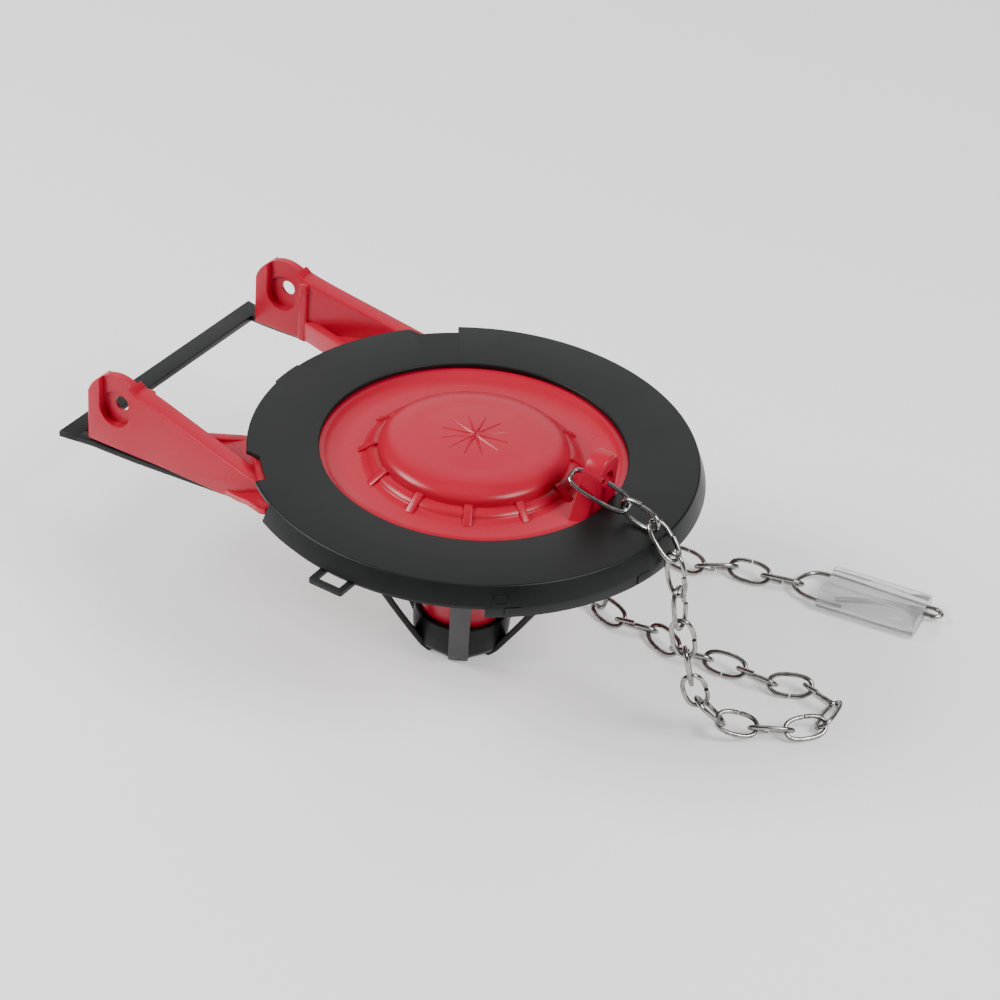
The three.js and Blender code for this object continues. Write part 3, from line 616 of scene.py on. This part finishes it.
def makeEar():
    holeY, holeZ, head = ear["holeY"], ear["holeZ"], ear["headRadius"]
    rearLift = math.sqrt(head ** 2 - (ear["rearReach"] + ear["headShift"]) ** 2)
    startAngle = math.pi - math.asin(rearLift / head)
    endAngle = math.acos((arm["rootY"] - holeY - ear["headShift"]) / head)
    arc = [startAngle + (endAngle - startAngle) * k / 28 for k in range(29)]
    outline = [(holeY - ear["rearReach"], holeZ - ear["bottomDrop"])]
    outline += [(holeY + ear["headShift"] + head * math.cos(a), holeZ + head * math.sin(a)) for a in arc]
    ringY, tipY, low, top = arm["ringY"], arm["tipY"], disc["bottom"], disc["top"]
    outline += [
        (arm["rootY"] + 0.8, arm["rootTopZ"]), (ringY, arm["ringTopZ"]), (tipY, top - 1.8), (tipY, low),
        (ringY + 3, low - 2), (ringY - 1.5, arm["ringBottomZ"]), (ringY - 7, arm["ringBottomZ"] - 0.9),
        (holeY + ear["frontReach"], holeZ - ear["bottomDrop"] + ear["bottomRise"]),
    ]
    inner, thick, deep = ear["innerX"], ear["thickness"], (ear["thickness"] - ear["webThickness"]) / 2
    body = plate([outline], shifted(acrossPlane, x=inner), thick, ear["edge"], 3)
    offY, offZ = ear["throughShift"]
    hole = circle(holeY + offY, holeZ + offZ, ear["throughRadius"])
    body = carved(body, plate([hole], shifted(acrossPlane, x=inner - 1), thick + 2))
    bore, above = ear["boreRadius"], holeZ + 2 * head
    groove = [(holeY - bore, holeZ), (holeY + bore, holeZ), (holeY + bore, above), (holeY - bore, above)]
    body = recessed(body, circle(holeY, holeZ, bore), inner, thick, deep)
    body = recessed(body, groove, inner, thick, ear["grooveDepth"])
    bmesh.ops.remove_doubles(body, verts=body.verts, dist=1e-3)
    # past the bore the plate bends out towards the disc's rim and gets a little thinner
    startY, run, strips = arm["bendY"], arm["bendRun"], 8
    for k in range(strips + 1):
        bmesh.ops.bisect_plane(
            body, geom=body.verts[:] + body.edges[:] + body.faces[:],
            plane_co=(0, startY + run * k / strips, 0), plane_no=(0, 1, 0))
    slope = math.tan(math.radians(arm["splayAngle"]))
    middle = inner + thick / 2
    for vert in body.verts:
        past = max(0, vert.co.y - startY)
        thinned = 1 - (1 - arm["thickness"] / thick) * min(1, past / (2 * run))
        bent = slope * (past ** 2 / (2 * run) if past < run else past - run / 2)
        vert.co.x = middle + (vert.co.x - middle) * thinned + bent
    # an upright rounded rib ends the ear's inner face
    near, far = holeY + ear["frontReach"] - ear["ribWidth"], holeY + ear["frontReach"] + 0.4
    ribX = inner - ear["ribReach"]
    rib = softened([(ribX, near), (inner + 1, near), (inner + 1, far), (ribX, far)], 0.7, 4)
    low = holeZ - ear["bottomDrop"] + ear["bottomRise"] + 0.1
    absorb(body, plate([rib], shifted(upPlane, z=low), arm["rootTopZ"] - 0.5 - low, 0.3, 3))
    return body


def makeArm():
    # the inner wall, the floor and the fan at the foot: the outer wall is the ear's own plate
    rootY, ringY = arm["rootY"], arm["ringY"]
    rootBottom = ear["holeZ"] - ear["bottomDrop"] + ear["bottomRise"]
    rootX = ear["innerX"] + (ear["thickness"] - arm["thickness"]) / 2
    low = disc["bottom"]
    whole = bmesh.new()
    endY = rootY + arm["wallReach"]
    wall = [
        (rootY, rootBottom + 0.2), (rootY + 10, rootBottom + 1.4), (endY - 3, low - 2.4), (endY, low - 0.9),
        (endY, arm["wallEndTopZ"] + 0.3), (endY - 4, arm["wallEndTopZ"]), (rootY, arm["wallRootTopZ"]),
    ]
    upright = plate([wall], shifted(acrossPlane, x=ear["innerX"]), arm["wallThickness"], 0.35, 2)
    absorb(whole, swung(upright, -arm["wallTurn"], "Z", (ear["innerX"], rootY, 0)))
    wallRun = math.tan(math.radians(-arm["wallTurn"]))
    webRun = math.tan(math.radians(arm["splayAngle"]))
    floorRoot, floorEnd = rootBottom + 0.4, low - 0.6
    webX = rootX + 1 + webRun * (ringY - rootY)
    wallX = ear["innerX"] + 0.6 - wallRun * (endY - rootY)
    plan = [(ear["innerX"] + 0.6, rootY), (rootX + 1, rootY), (webX, ringY), (wallX, ringY), (wallX, endY)]
    floor = plate([plan], upPlane, arm["floorThickness"])
    for vert in floor.verts:
        share = min(1, (vert.co.y - rootY) / (endY - rootY))
        vert.co.z += floorRoot + (floorEnd - floorRoot) * share
    bmesh.ops.triangulate(floor, faces=[f for f in floor.faces if len(f.verts) > 4])
    absorb(whole, floor)
    absorb(whole, makeFan())
    return whole


def makeFan():
    # the foot of the arm runs out into the disc's rim as a thin sloping plate
    sections = []
    for x, y, z in arm["fanEdge"]:
        inner, top = max(x - arm["fanInset"], arm["fanInnerX"]), z + arm["fanThickness"]
        sections.append([(inner, y, z), (x, y, z), (x, y, top), (inner, y, top)])
    return lofted(sections)


lug = {
    "backY": 28.5,
    "thickness": 4.3,
    "lean": 5.0,
    "footHalfWidth": 7.0,
    "waistHalfWidth": 4.6,
    "waistZ": 3.6,
    "headRadius": 4.3,
    "headZ": 8.3,
    "holeRadius": 2.3,
    "holeZ": 6.4,
    "footZ": -3.6,
    "edge": 0.45,
}


def makeLug():
    arc = [polar(lug["headRadius"], 180 * k / 24) for k in range(25)]
    outline = [(lug["footHalfWidth"], lug["footZ"]), (lug["waistHalfWidth"], lug["waistZ"])]
    outline += [(x, lug["headZ"] + z) for x, z in arc]
    outline += [(-lug["waistHalfWidth"], lug["waistZ"]), (-lug["footHalfWidth"], lug["footZ"])]
    thick = lug["thickness"]
    body = plate([outline], shifted(backPlane, y=lug["backY"] + thick), thick, lug["edge"], 3)
    hole = plate([circle(0, lug["holeZ"], lug["holeRadius"])], shifted(backPlane, y=lug["backY"] + 8), 14)
    body = carved(body, hole)
    bmesh.ops.remove_doubles(body, verts=body.verts, dist=1e-3)
    return swung(body, -lug["lean"], "X", (0, lug["backY"], lug["footZ"]))


def makeSealBody():
    body = makeSealTurning()
    for k in range(dome["ribCount"]):
        absorb(body, makeRib(k))
    for k in range(dome["starRays"]):
        absorb(body, makeRay(k))
    for mirrored in (False, True):
        absorb(body, makeEar(), mirrored)
        absorb(body, makeArm(), mirrored)
    absorb(body, makeLug())
    return body


finishPiece("sealBody", makeSealBody(), redRubber, ["seal_body"])
print("seal body made")

# clamp frame: hoop under the rim, its lip, latches and loop, and the strips that carry the arms
hoop = {
    "wall": 2.6,
    "thickness": 1.4,
    "lipInset": 0.4,
    "lipDrop": 1.2,
    "lipStart": 36.0,
    "lipEnd": 88.0,
    "latchWidth": 3.4,
    "latchAngles": (42.5, 78.0),
    "latchReach": 0.3,
    "latchHeight": 1.0,
}
loopTab = {"length": 5.2, "halfWidth": 4.2, "bar": 1.3, "thickness": 1.2, "sidewaysY": -0.8}
sideBar = {
    "outerRearX": 35.2,
    "outerX": 33.7,
    "width": 4.2,
    "rearWidth": 2.4,
    "thickness": 1.6,
    "flareY": -80.0,
    "levelY": -75.0,
    "bendY": -68.0,
    "frontY": -38.0,
    "frontRise": 2.9,
    "rearClearance": 2.3,
    "crossWidth": 4.9,
    "farReach": 1.4,
    "postX": (28.0, 31.4),
    "postDepth": 3.4,
}


def makeClampFrame():
    top = disc["bottom"] - fitGap
    bottom = top - hoop["thickness"]
    outer = coverRing["rimRadius"] + coverRing["skirtFlare"] - coverRing["skirtWall"] - 0.2
    inner = disc["radius"] - hoop["wall"]
    start = -90 + coverRing["skirtOpenNear"]
    sweep = 360 - 2 * coverRing["skirtOpenNear"]
    section = softened([(inner, bottom), (outer, bottom), (outer, top), (inner, top)], 0.2, 2)
    body = turned(section, turnSteps, start, sweep)
    lipOuter = coverRing["rimRadius"] + coverRing["skirtFlare"] - hoop["lipInset"]
    lipTop = -coverRing["skirtDrop"] - fitGap
    lipBottom = bottom - hoop["lipDrop"]
    lipInner = outer - 1.4
    lip = softened([
        (lipInner, lipBottom), (lipOuter, lipBottom), (lipOuter, lipTop), (lipInner, lipTop)], 0.2, 2)
    absorb(body, turned(lip, turnSteps // 4, hoop["lipStart"], hoop["lipEnd"] - hoop["lipStart"]))
    for angle in hoop["latchAngles"]:
        half = math.degrees(hoop["latchWidth"] / 2 / lipOuter)
        reach = lipOuter + hoop["latchReach"]
        low = lipTop - hoop["latchHeight"] - hoop["lipDrop"]
        latch = softened([(outer - 1, low), (reach, low), (reach, lipTop), (outer - 1, lipTop)], 0.15, 2)
        absorb(body, turned(latch, 6, angle - half, 2 * half))
    absorb(body, makeLoopTab(bottom, outer))
    for mirrored in (False, True):
        absorb(body, makeStrip(top, outer), mirrored)
    rearY = ear["holeY"] - ear["rearReach"] - sideBar["rearClearance"] - sideBar["crossWidth"]
    topZ = ear["holeZ"] - ear["bottomDrop"] - fitGap
    outerX, thick = sideBar["outerRearX"], sideBar["thickness"]
    frontX = outerX + (sideBar["outerX"] - outerX) * sideBar["crossWidth"] / (sideBar["flareY"] - rearY)
    crossFrontY = rearY + sideBar["crossWidth"]
    farX = sideBar["farReach"]
    cross = [(-outerX - farX, rearY), (outerX, rearY), (frontX, crossFrontY), (-frontX - farX, crossFrontY)]
    absorb(body, plate([cross], shifted(upPlane, z=topZ - thick), thick, 0.25, 3))
    return body


def makeLoopTab(bottom, outer):
    near, far = outer - 2, outer + loopTab["length"]
    half, bar, middle = loopTab["halfWidth"], loopTab["bar"], loopTab["sidewaysY"]
    low, high = middle - half, middle + half
    edge = softened([(near, low), (far, low), (far, high), (near, high)], 0.6, 3)
    holeNear, holeFar, holeLow, holeHigh = near + bar, far - bar, low + bar, high - bar
    hole = [(holeNear, holeLow), (holeNear, holeHigh), (holeFar, holeHigh), (holeFar, holeLow)]
    return plate([edge, hole], shifted(upPlane, z=bottom), loopTab["thickness"], 0.2, 2)


def makeStrip(hoopTop, hoopOuter):
    made = sideBar
    rearY = ear["holeY"] - ear["rearReach"] - made["rearClearance"] - made["crossWidth"]
    topZ = ear["holeZ"] - ear["bottomDrop"] - fitGap
    thick, width = made["thickness"], made["width"]
    frontTopZ = topZ + made["frontRise"]
    # stations of the strip from inside the crossbar forward: place, outer edge, top and underside
    startY = rearY + made["crossWidth"] - 0.6
    share = (startY - rearY) / (made["flareY"] - rearY)
    startX = made["outerRearX"] + (made["outerX"] - made["outerRearX"]) * share
    hidden = 0.02  # keeps the strip's end just inside the crossbar
    stations = [
        (startY, startX - hidden, topZ - hidden, topZ - thick + hidden),
        (made["flareY"], made["outerX"], topZ, topZ - thick),
        (made["levelY"], made["outerX"], topZ, topZ - thick + 0.2),
        (made["bendY"], made["outerX"], topZ + 0.35, topZ - thick + 0.6),
        (made["frontY"], made["outerX"], frontTopZ, frontTopZ - thick * 0.8),
    ]
    sections = []
    for y, x, high, low in stations:
        inner = made["outerX"] - (width if y > made["bendY"] else made["rearWidth"])
        sections.append([(inner, y, low), (x, y, low), (x, y, high), (inner, y, high)])
    strip = lofted(sections)
    postInner, postOuter = made["postX"]
    frontY = made["frontY"]
    rear = frontY - made["postDepth"]
    post = [(postInner, rear), (postOuter, rear), (postOuter, frontY), (postInner, frontY)]
    postBottom = frontTopZ - thick * 0.9
    absorb(strip, plate([post], shifted(upPlane, z=postBottom), hoopTop - 1.5 - postBottom, 0.2, 2))
    endX, endY = polar(hoopOuter, -90 + coverRing["skirtOpenNear"])
    tipY = arm["tipY"]
    tongue = [
        (postInner, rear), (postOuter, rear), (postOuter, tipY - 0.6), (endX - 8.4, tipY + 2.8),
        (endX - 4.4, endY - 0.2), (endX - 1, endY + 2), (endX - 8, endY + 2.4), (postInner, tipY - 2),
    ]
    tongueBottom = hoopTop - hoop["thickness"] - 1.4
    absorb(strip, plate([tongue], shifted(upPlane, z=tongueBottom), hoopTop - 1.1 - tongueBottom, 0.2, 2))
    riser = [(endX - 4, endY), (endX - 1, endY), (endX - 1, endY + 2), (endX - 5, endY + 2)]
    absorb(strip, plate([riser], shifted(upPlane, z=tongueBottom), hoopTop - tongueBottom, 0.2, 2))
    return strip


finishPiece("clampFrame", makeClampFrame(), framePlastic, ["clamp_frame"])
print("clamp frame made")

# cage: flat ring under the hoop, six bowed legs and the cup at their foot
cage = {
    "ringInnerRadius": 28.6,
    "ringOuterRadius": 39.6,
    "ringThickness": 1.6,
    "legCount": 6,
    "legFirstAngle": 30.0,
    "legWidth": 4.6,
    "legThickness": 1.7,
    "legTopRadius": 33.6,
    "legTopDrop": 9.0,
    "legBulge": 1.1,
    "footRadius": 9.3,
    "footLength": 2.4,
    "heelReach": 2.0,
    "heelRise": 2.3,
    "cupRadius": 10.9,
    "cupWall": 1.2,
    "cupTop": -42.6,
    "cupFloor": -50.7,
    "cupHoleRadius": 4.0,
    "flareHeight": 4.0,
    "flareDrop": 1.2,
    "flarePower": 4,
    "studRadius": 1.2,
    "studCircleRadius": 38.0,
    "edge": 0.3,
}


def makeCage():
    made = cage
    top = disc["bottom"] - fitGap
    inner, outer, low = made["ringInnerRadius"], made["ringOuterRadius"], top - made["ringThickness"]
    ring = softened([(inner, low), (outer, low), (outer, top), (inner, top)], 0.2, 2)
    body = turned(ring)
    radius, wall, floor = made["cupRadius"], made["cupWall"], made["cupFloor"]
    hole = made["cupHoleRadius"]
    cup = softened([
        (radius - wall, made["cupTop"]), (radius, made["cupTop"]), (radius + 0.3, floor + 4.2),
        (radius + 0.1, floor + 1.4), (radius - 0.7, floor), (hole, floor), (hole, floor + wall),
        (radius - wall - 1, floor + wall + 0.6), (radius - wall, floor + 3.6)], 0.35, 3)
    bowl = turned(cup, turnSteps // 2)
    for vert in bowl.verts:
        # the bowl's lower edge runs out into the foot of each leg
        around = math.atan2(vert.co.y, vert.co.x) - math.radians(made["legFirstAngle"])
        share = math.cos(around * made["legCount"] / 2) ** made["flarePower"]
        if math.hypot(vert.co.x, vert.co.y) > radius / 2:
            vert.co.z -= made["flareDrop"] * share * max(0, 1 - (vert.co.z - floor) / made["flareHeight"])
    absorb(body, bowl)
    legTop, legDrop, foot = made["legTopRadius"], made["legTopDrop"], made["footRadius"]
    outerLine = []
    steps = 18
    for k in range(steps + 1):
        t = k / steps
        reach = legTop + (foot + made["heelReach"] - legTop) * t + made["legBulge"] * 4 * t * (1 - t)
        outerLine.append((reach, -legDrop + (legDrop - standHeight + made["heelRise"]) * t))
    innerLine = [(reach - made["legThickness"], height) for reach, height in reversed(outerLine)]
    leg = [(legTop + 0.6, top - 0.2)] + outerLine
    leg += [(foot, -standHeight), (foot - made["footLength"], -standHeight)]
    leg += innerLine + [(legTop - 1.6, top - 0.2)]
    for k in range(made["legCount"]):
        angle = math.radians(made["legFirstAngle"] + 360 * k / made["legCount"])
        turn = Matrix.Rotation(angle, 4, "Z")
        absorb(body, plate(
            [leg], turn @ shifted(backPlane, y=made["legWidth"] / 2), made["legWidth"], made["edge"], 2))
        x, y = polar(made["studCircleRadius"], math.degrees(angle))
        studLow = top - 0.6
        stud = [circle(x, y, made["studRadius"], 20)]
        absorb(body, plate(stud, shifted(upPlane, z=studLow), disc["top"] - studLow, 0.15, 2))
    return body


finishPiece("floatCage", makeCage(), framePlastic, ["cage"])
print("cage made")

# chain: bent wire links, each hanging in the one before
wireRadius = 0.55
chain = {
    "pitch": 8.1,
    "play": 0.62,
    "linkWidth": 6.0,
    "jointGap": 0.14,
    "bendPower": 0.8,
    "squareBendPower": 0.6,
    "lugLinkRimGap": 37.3,
    "lugLinkWidth": 6.0,
    "lugLinkRoll": 21.0,
    "lugLinkSlope": (0.08, -0.967, 0.24),
    "twists": {0: 45, 1: 45, 2: 45, 3: 30, 4: 15},
    "endOffset": 0.22,
    "endPower": 9,
    "rollAngle": 45,
    "restLift": 0.12,
    "settleRounds": 600,
}
# a link on the ground leans by the roll angle and stands on the lower side of its wire
leanHeight = (chain["linkWidth"] / 2 - wireRadius) * math.sin(math.radians(chain["rollAngle"]))
chainRest = -standHeight + leanHeight + wireRadius + chain["restLift"]
# joints as (x, y past the rim, z): over the rim, down to the ground, out and back under the ring
chainJoints = [
    (2.4, -10.1, 3.45), (3.4, -2, 3.45), (5.2, 4.7, -1.8), (6, 6.6, -9.6), (6, 8, -17.6), (4.8, 9.6, -25.5),
    (3, 10.6, -33.4), (0.8, 11.6, -41.2), (-3.4, 14.8, -47.6),
]
chainJoints += [(x, y, chainRest) for x, y in (
    (-8.8, 21.6), (-14, 30.2), (-20.9, 34.4), (-28.2, 31.4), (-28.9, 23.8), (-26.8, 16.8), (-26, 9.8),
    (-25, 1.7), (-24.2, -6.2), (-25.6, -14), (-25.6, -21.6), (-28.3, -29), (-35, -32.6), (-42.6, -33.8),
    (-50, -31.6), (-54, -25.6), (-55.2, -18.4), (-59, -11.4), (-60.9, -3.6), (-63.2, 4.2))]


def evenJoints():
    # the joints, as read off, are pulled to the same pitch
    joints = [Vector((x, coverRing["rimRadius"] + y, z)) for x, y, z in chainJoints]
    for _ in range(chain["settleRounds"]):
        for k in range(1, len(joints)):
            step = joints[k] - joints[k - 1]
            step *= (step.length - chain["pitch"]) / step.length / 2
            if k > 1:
                joints[k - 1] += step
            joints[k] -= step
    return joints


def sidesAlong(joints):
    side = Vector((-1, 0, 0))
    sides = []
    for first, second in zip(joints, joints[1:]):
        along = (second - first).normalized()
        level = Vector((0, 0, 1)).cross(along)
        share = level.length ** 4
        side = (side - along * side.dot(along)).normalized()
        if side.dot(level) < 0:
            level.negate()
        side = (side * (1 - share) + level.normalized() * share).normalized()
        sides.append(side.copy())
    return sides


def linkPlace(start, end, side, roll):
    along = (end - start).normalized()
    flat = (side - along * side.dot(along)).normalized()
    basis = Matrix((along, flat, along.cross(flat))).transposed().to_4x4()
    return Matrix.Translation((start + end) / 2) @ basis @ Matrix.Rotation(roll, 4, "X")


def makeLink(place, length, width, power):
    # one bent wire, whose ends pass each other a little and stand apart
    cut = chain["jointGap"] / length
    points = []
    for k in range(wireSteps + 1):
        t = k / wireSteps
        angle = math.pi / 2 + cut + (2 * math.pi - 2 * cut) * t
        reach = [math.copysign(abs(v) ** power, v) for v in (math.cos(angle), math.sin(angle))]
        lift = chain["endOffset"] * (2 * t - 1) ** chain["endPower"]
        points.append(place @ Vector((length / 2 * reach[0], width / 2 * reach[1], lift)))
    return wire(points, wireRadius)


def makeChain():
    joints = evenJoints()
    sides = sidesAlong(joints)
    length = chain["pitch"] + chain["play"] + 2 * wireRadius
    width = chain["linkWidth"] - 2 * wireRadius
    for k, side in enumerate(sides):
        roll = chain["rollAngle"] * (1 if k % 2 == 0 else -1) + chain["twists"].get(k, 0)
        place = linkPlace(joints[k], joints[k + 1], side, math.radians(roll))
        link = makeLink(place, length, width, chain["bendPower"])
        name, node = f"chainLink{k + 1:02d}", f"chain_link_{k + 1:02d}"
        finishPiece(name, link, brightWire, [node], 50)
    reach = coverRing["rimRadius"] - chain["lugLinkRimGap"]
    lugEnd = joints[0] + Vector(chain["lugLinkSlope"]).normalized() * reach
    place = linkPlace(lugEnd, joints[0], sides[0], math.radians(chain["lugLinkRoll"]))
    lugLength, lugWidth = reach + fitGap + 2 * wireRadius, chain["lugLinkWidth"] - 2 * wireRadius
    link = makeLink(place, lugLength, lugWidth, chain["squareBendPower"])
    finishPiece("lugLink", link, brightWire, ["lug_link"], 50)
    return joints


joints = makeChain()
print("chain made")

# wire clip, as (past the sleeve's mouth, aside), and its clear sleeve
clipRoute = [
    (6, -5.3), (2, -5.7), (-1.6, -5.6), (-5, -4.8), (-7.2, -2.6), (-6.6, 1), (-4.2, 4.2), (0, 5.2), (6, 5.2),
    (14, 4.8), (22, 4.5), (26.4, 4.6), (27.8, 3.2), (26.4, 1.8), (22, 2), (13, 0.4), (4, -3.2),
]
sleeve = {
    "length": 24.0,
    "width": 15.6,
    "height": 5.6,
    "farHeight": 4.6,
    "waist": 3.7,
    "wall": 1.0,
    "nearLobe": (-0.66, 0.62),  # middle and reach, as shares of half the width
    "farLobe": (0.74, 0.42),
    "sides": 72,
}
sleeveAlong = Vector((-0.15, 1, 0)).normalized()
sleeveAcross = Vector((0, 0, 1)).cross(sleeveAlong)


def findMouth():
    # the middle of the sleeve's open end, set so that the clip's loop hangs in the last link
    heading = (joints[-1] - joints[-2]).normalized()
    tip = min(clipRoute)
    mouth = joints[-1] + heading * (-wireRadius - 1.05 * chain["play"])
    mouth += sleeveAlong * -tip[0] + sleeveAcross * -tip[1]
    mouth.z = -standHeight + sleeve["wall"] + fitGap + wireRadius
    return mouth


mouth = findMouth()


def blended(first, second, early, late, t):
    share = (t - early) / (late - early)
    return first * (1 - share) + second * share


def smoothRoute(points, pieces=8):
    # centripetal curve through the points
    line = [Vector(p) for p in points]
    line = [line[0] * 2 - line[1]] + line + [line[-1] * 2 - line[-2]]
    out = []
    for a, b, c, d in zip(line, line[1:], line[2:], line[3:]):
        knots = [0]
        for p, q in ((a, b), (b, c), (c, d)):
            knots.append(knots[-1] + max((q - p).length, 1e-6) ** 0.5)
        for k in range(pieces):
            t = knots[1] + (knots[2] - knots[1]) * k / pieces
            ab, bc = blended(a, b, knots[0], knots[1], t), blended(b, c, knots[1], knots[2], t)
            cd = blended(c, d, knots[2], knots[3], t)
            ac, bd = blended(ab, bc, knots[0], knots[2], t), blended(bc, cd, knots[1], knots[3], t)
            out.append(blended(ac, bd, knots[1], knots[2], t))
    out.append(line[-2])
    return out


clipLine = smoothRoute([mouth + sleeveAlong * u + sleeveAcross * v for u, v in clipRoute])
finishPiece("chainClip", wire(clipLine, wireRadius), brightWire, ["chain_clip"], 50)
print("clip made")


def lobe(u, middle, reach):
    return max(0, 1 - ((u - middle) / reach) ** 2)


def sleeveSection(inset):
    # a round tube pressed flat: a big lobe on the near side, a small one on the far side, a dip between
    half, waist = sleeve["width"] / 2 - inset, sleeve["waist"]
    section = []
    for k in range(sleeve["sides"]):
        angle = 2 * math.pi * k / sleeve["sides"]
        u = math.copysign(abs(math.cos(angle)) ** 0.75, math.cos(angle))
        near = (sleeve["height"] - waist) * lobe(u, *sleeve["nearLobe"])
        far = (sleeve["farHeight"] - waist) * lobe(u, *sleeve["farLobe"])
        middle = (waist + near + far) / 2
        fullness = max(0, 1 - abs(u) ** 6) ** 0.5
        side = math.copysign(1, math.sin(angle)) if abs(math.sin(angle)) > 1e-6 else 0
        section.append((half * u, middle + side * fullness * (middle - inset)))
    return section


def makeSleeve():
    place = Matrix((sleeveAcross, Vector((0, 0, 1)), sleeveAlong)).transposed().to_4x4()
    place = Matrix.Translation((mouth.x, mouth.y, -standHeight)) @ place
    return plate([sleeveSection(0), sleeveSection(sleeve["wall"])], place, sleeve["length"], 0.15, 2)


finishPiece("clipSleeve", makeSleeve(), clearTube, ["clip_sleeve"], 40)
print("sleeve made")

# studio: pale floor, a softbox on each side, a weak one overhead, and a broad one behind the flapper
# whose reflection gives the upward faces their sheen
studio = {
    "floor": "#e6e6e6",
    "world": "#ffffff",
    "worldStrength": 0.14,
    "glow": 0.45,
    "floorGap": 0.0002,
    "aim": (0, 0, 0.03),
    "boxes": (  # place, side and watts
        ((0.45, -0.62, 0.64), 0.42, 12.5),
        ((0.02, 0.69, 0.72), 0.42, 10.0),
        ((0.0, -0.05, 1.3), 0.8, 1.5),
        ((-0.8, -0.47, 0.67), 1.0, 3.8),
    ),
}


def makeStudio():
    floor = bmesh.new()
    bmesh.ops.create_grid(floor, x_segments=1, y_segments=1, size=3)
    mesh = bpy.data.meshes.new("floor")
    floor.to_mesh(mesh)
    floor.free()
    # matt paper that glows a little, as a lit backdrop does
    colour = linear(studio["floor"])
    mesh.materials.append(newMaterial("palePaper", {
        "Base Color": colour, "Roughness": 0.9, "Specular IOR Level": 0.1,
        "Emission Color": colour, "Emission Strength": studio["glow"]})[0])
    ground = bpy.data.objects.new("floor", mesh)
    ground.location.z = -studio["floorGap"]
    bpy.context.scene.collection.objects.link(ground)
    for k, (place, size, power) in enumerate(studio["boxes"]):
        light = bpy.data.lights.new(f"softbox{k}", "AREA")
        light.shape = "SQUARE"
        light.size = size
        light.energy = power
        obj = bpy.data.objects.new(f"softbox{k}", light)
        obj.location = place
        towards = Vector(studio["aim"]) - Vector(place)
        obj.rotation_euler = towards.to_track_quat("-Z", "Y").to_euler()
        bpy.context.scene.collection.objects.link(obj)
    world = bpy.data.worlds.new("studio")
    world.use_nodes = True
    sky = world.node_tree.nodes["Background"].inputs
    sky["Color"].default_value = linear(studio["world"])
    sky["Strength"].default_value = studio["worldStrength"]
    bpy.context.scene.world = world


# camera, fitted to the rim's two circles as the photo shows them
camera = {
    "lens": 108,
    "sensor": 36,
    "right": (-0.53925, 0.83951, 0.06652),
    "up": (-0.45908, -0.35926, 0.81251),
    "place": (0.46827, 0.27797, 0.42593),
}


def makeCamera():
    lens = bpy.data.cameras.new("camera")
    lens.lens = camera["lens"]
    lens.sensor_width = camera["sensor"]
    lens.clip_start = 0.01
    obj = bpy.data.objects.new("camera", lens)
    right, up = Vector(camera["right"]), Vector(camera["up"])
    x, y, z = camera["place"]
    turn = Matrix((right, up, right.cross(up))).transposed().to_4x4()
    obj.matrix_world = Matrix.Translation((x, y - footMiddle / 1000, z)) @ turn
    bpy.context.scene.collection.objects.link(obj)
    bpy.context.scene.camera = obj


makeStudio()
makeCamera()
print("studio made")
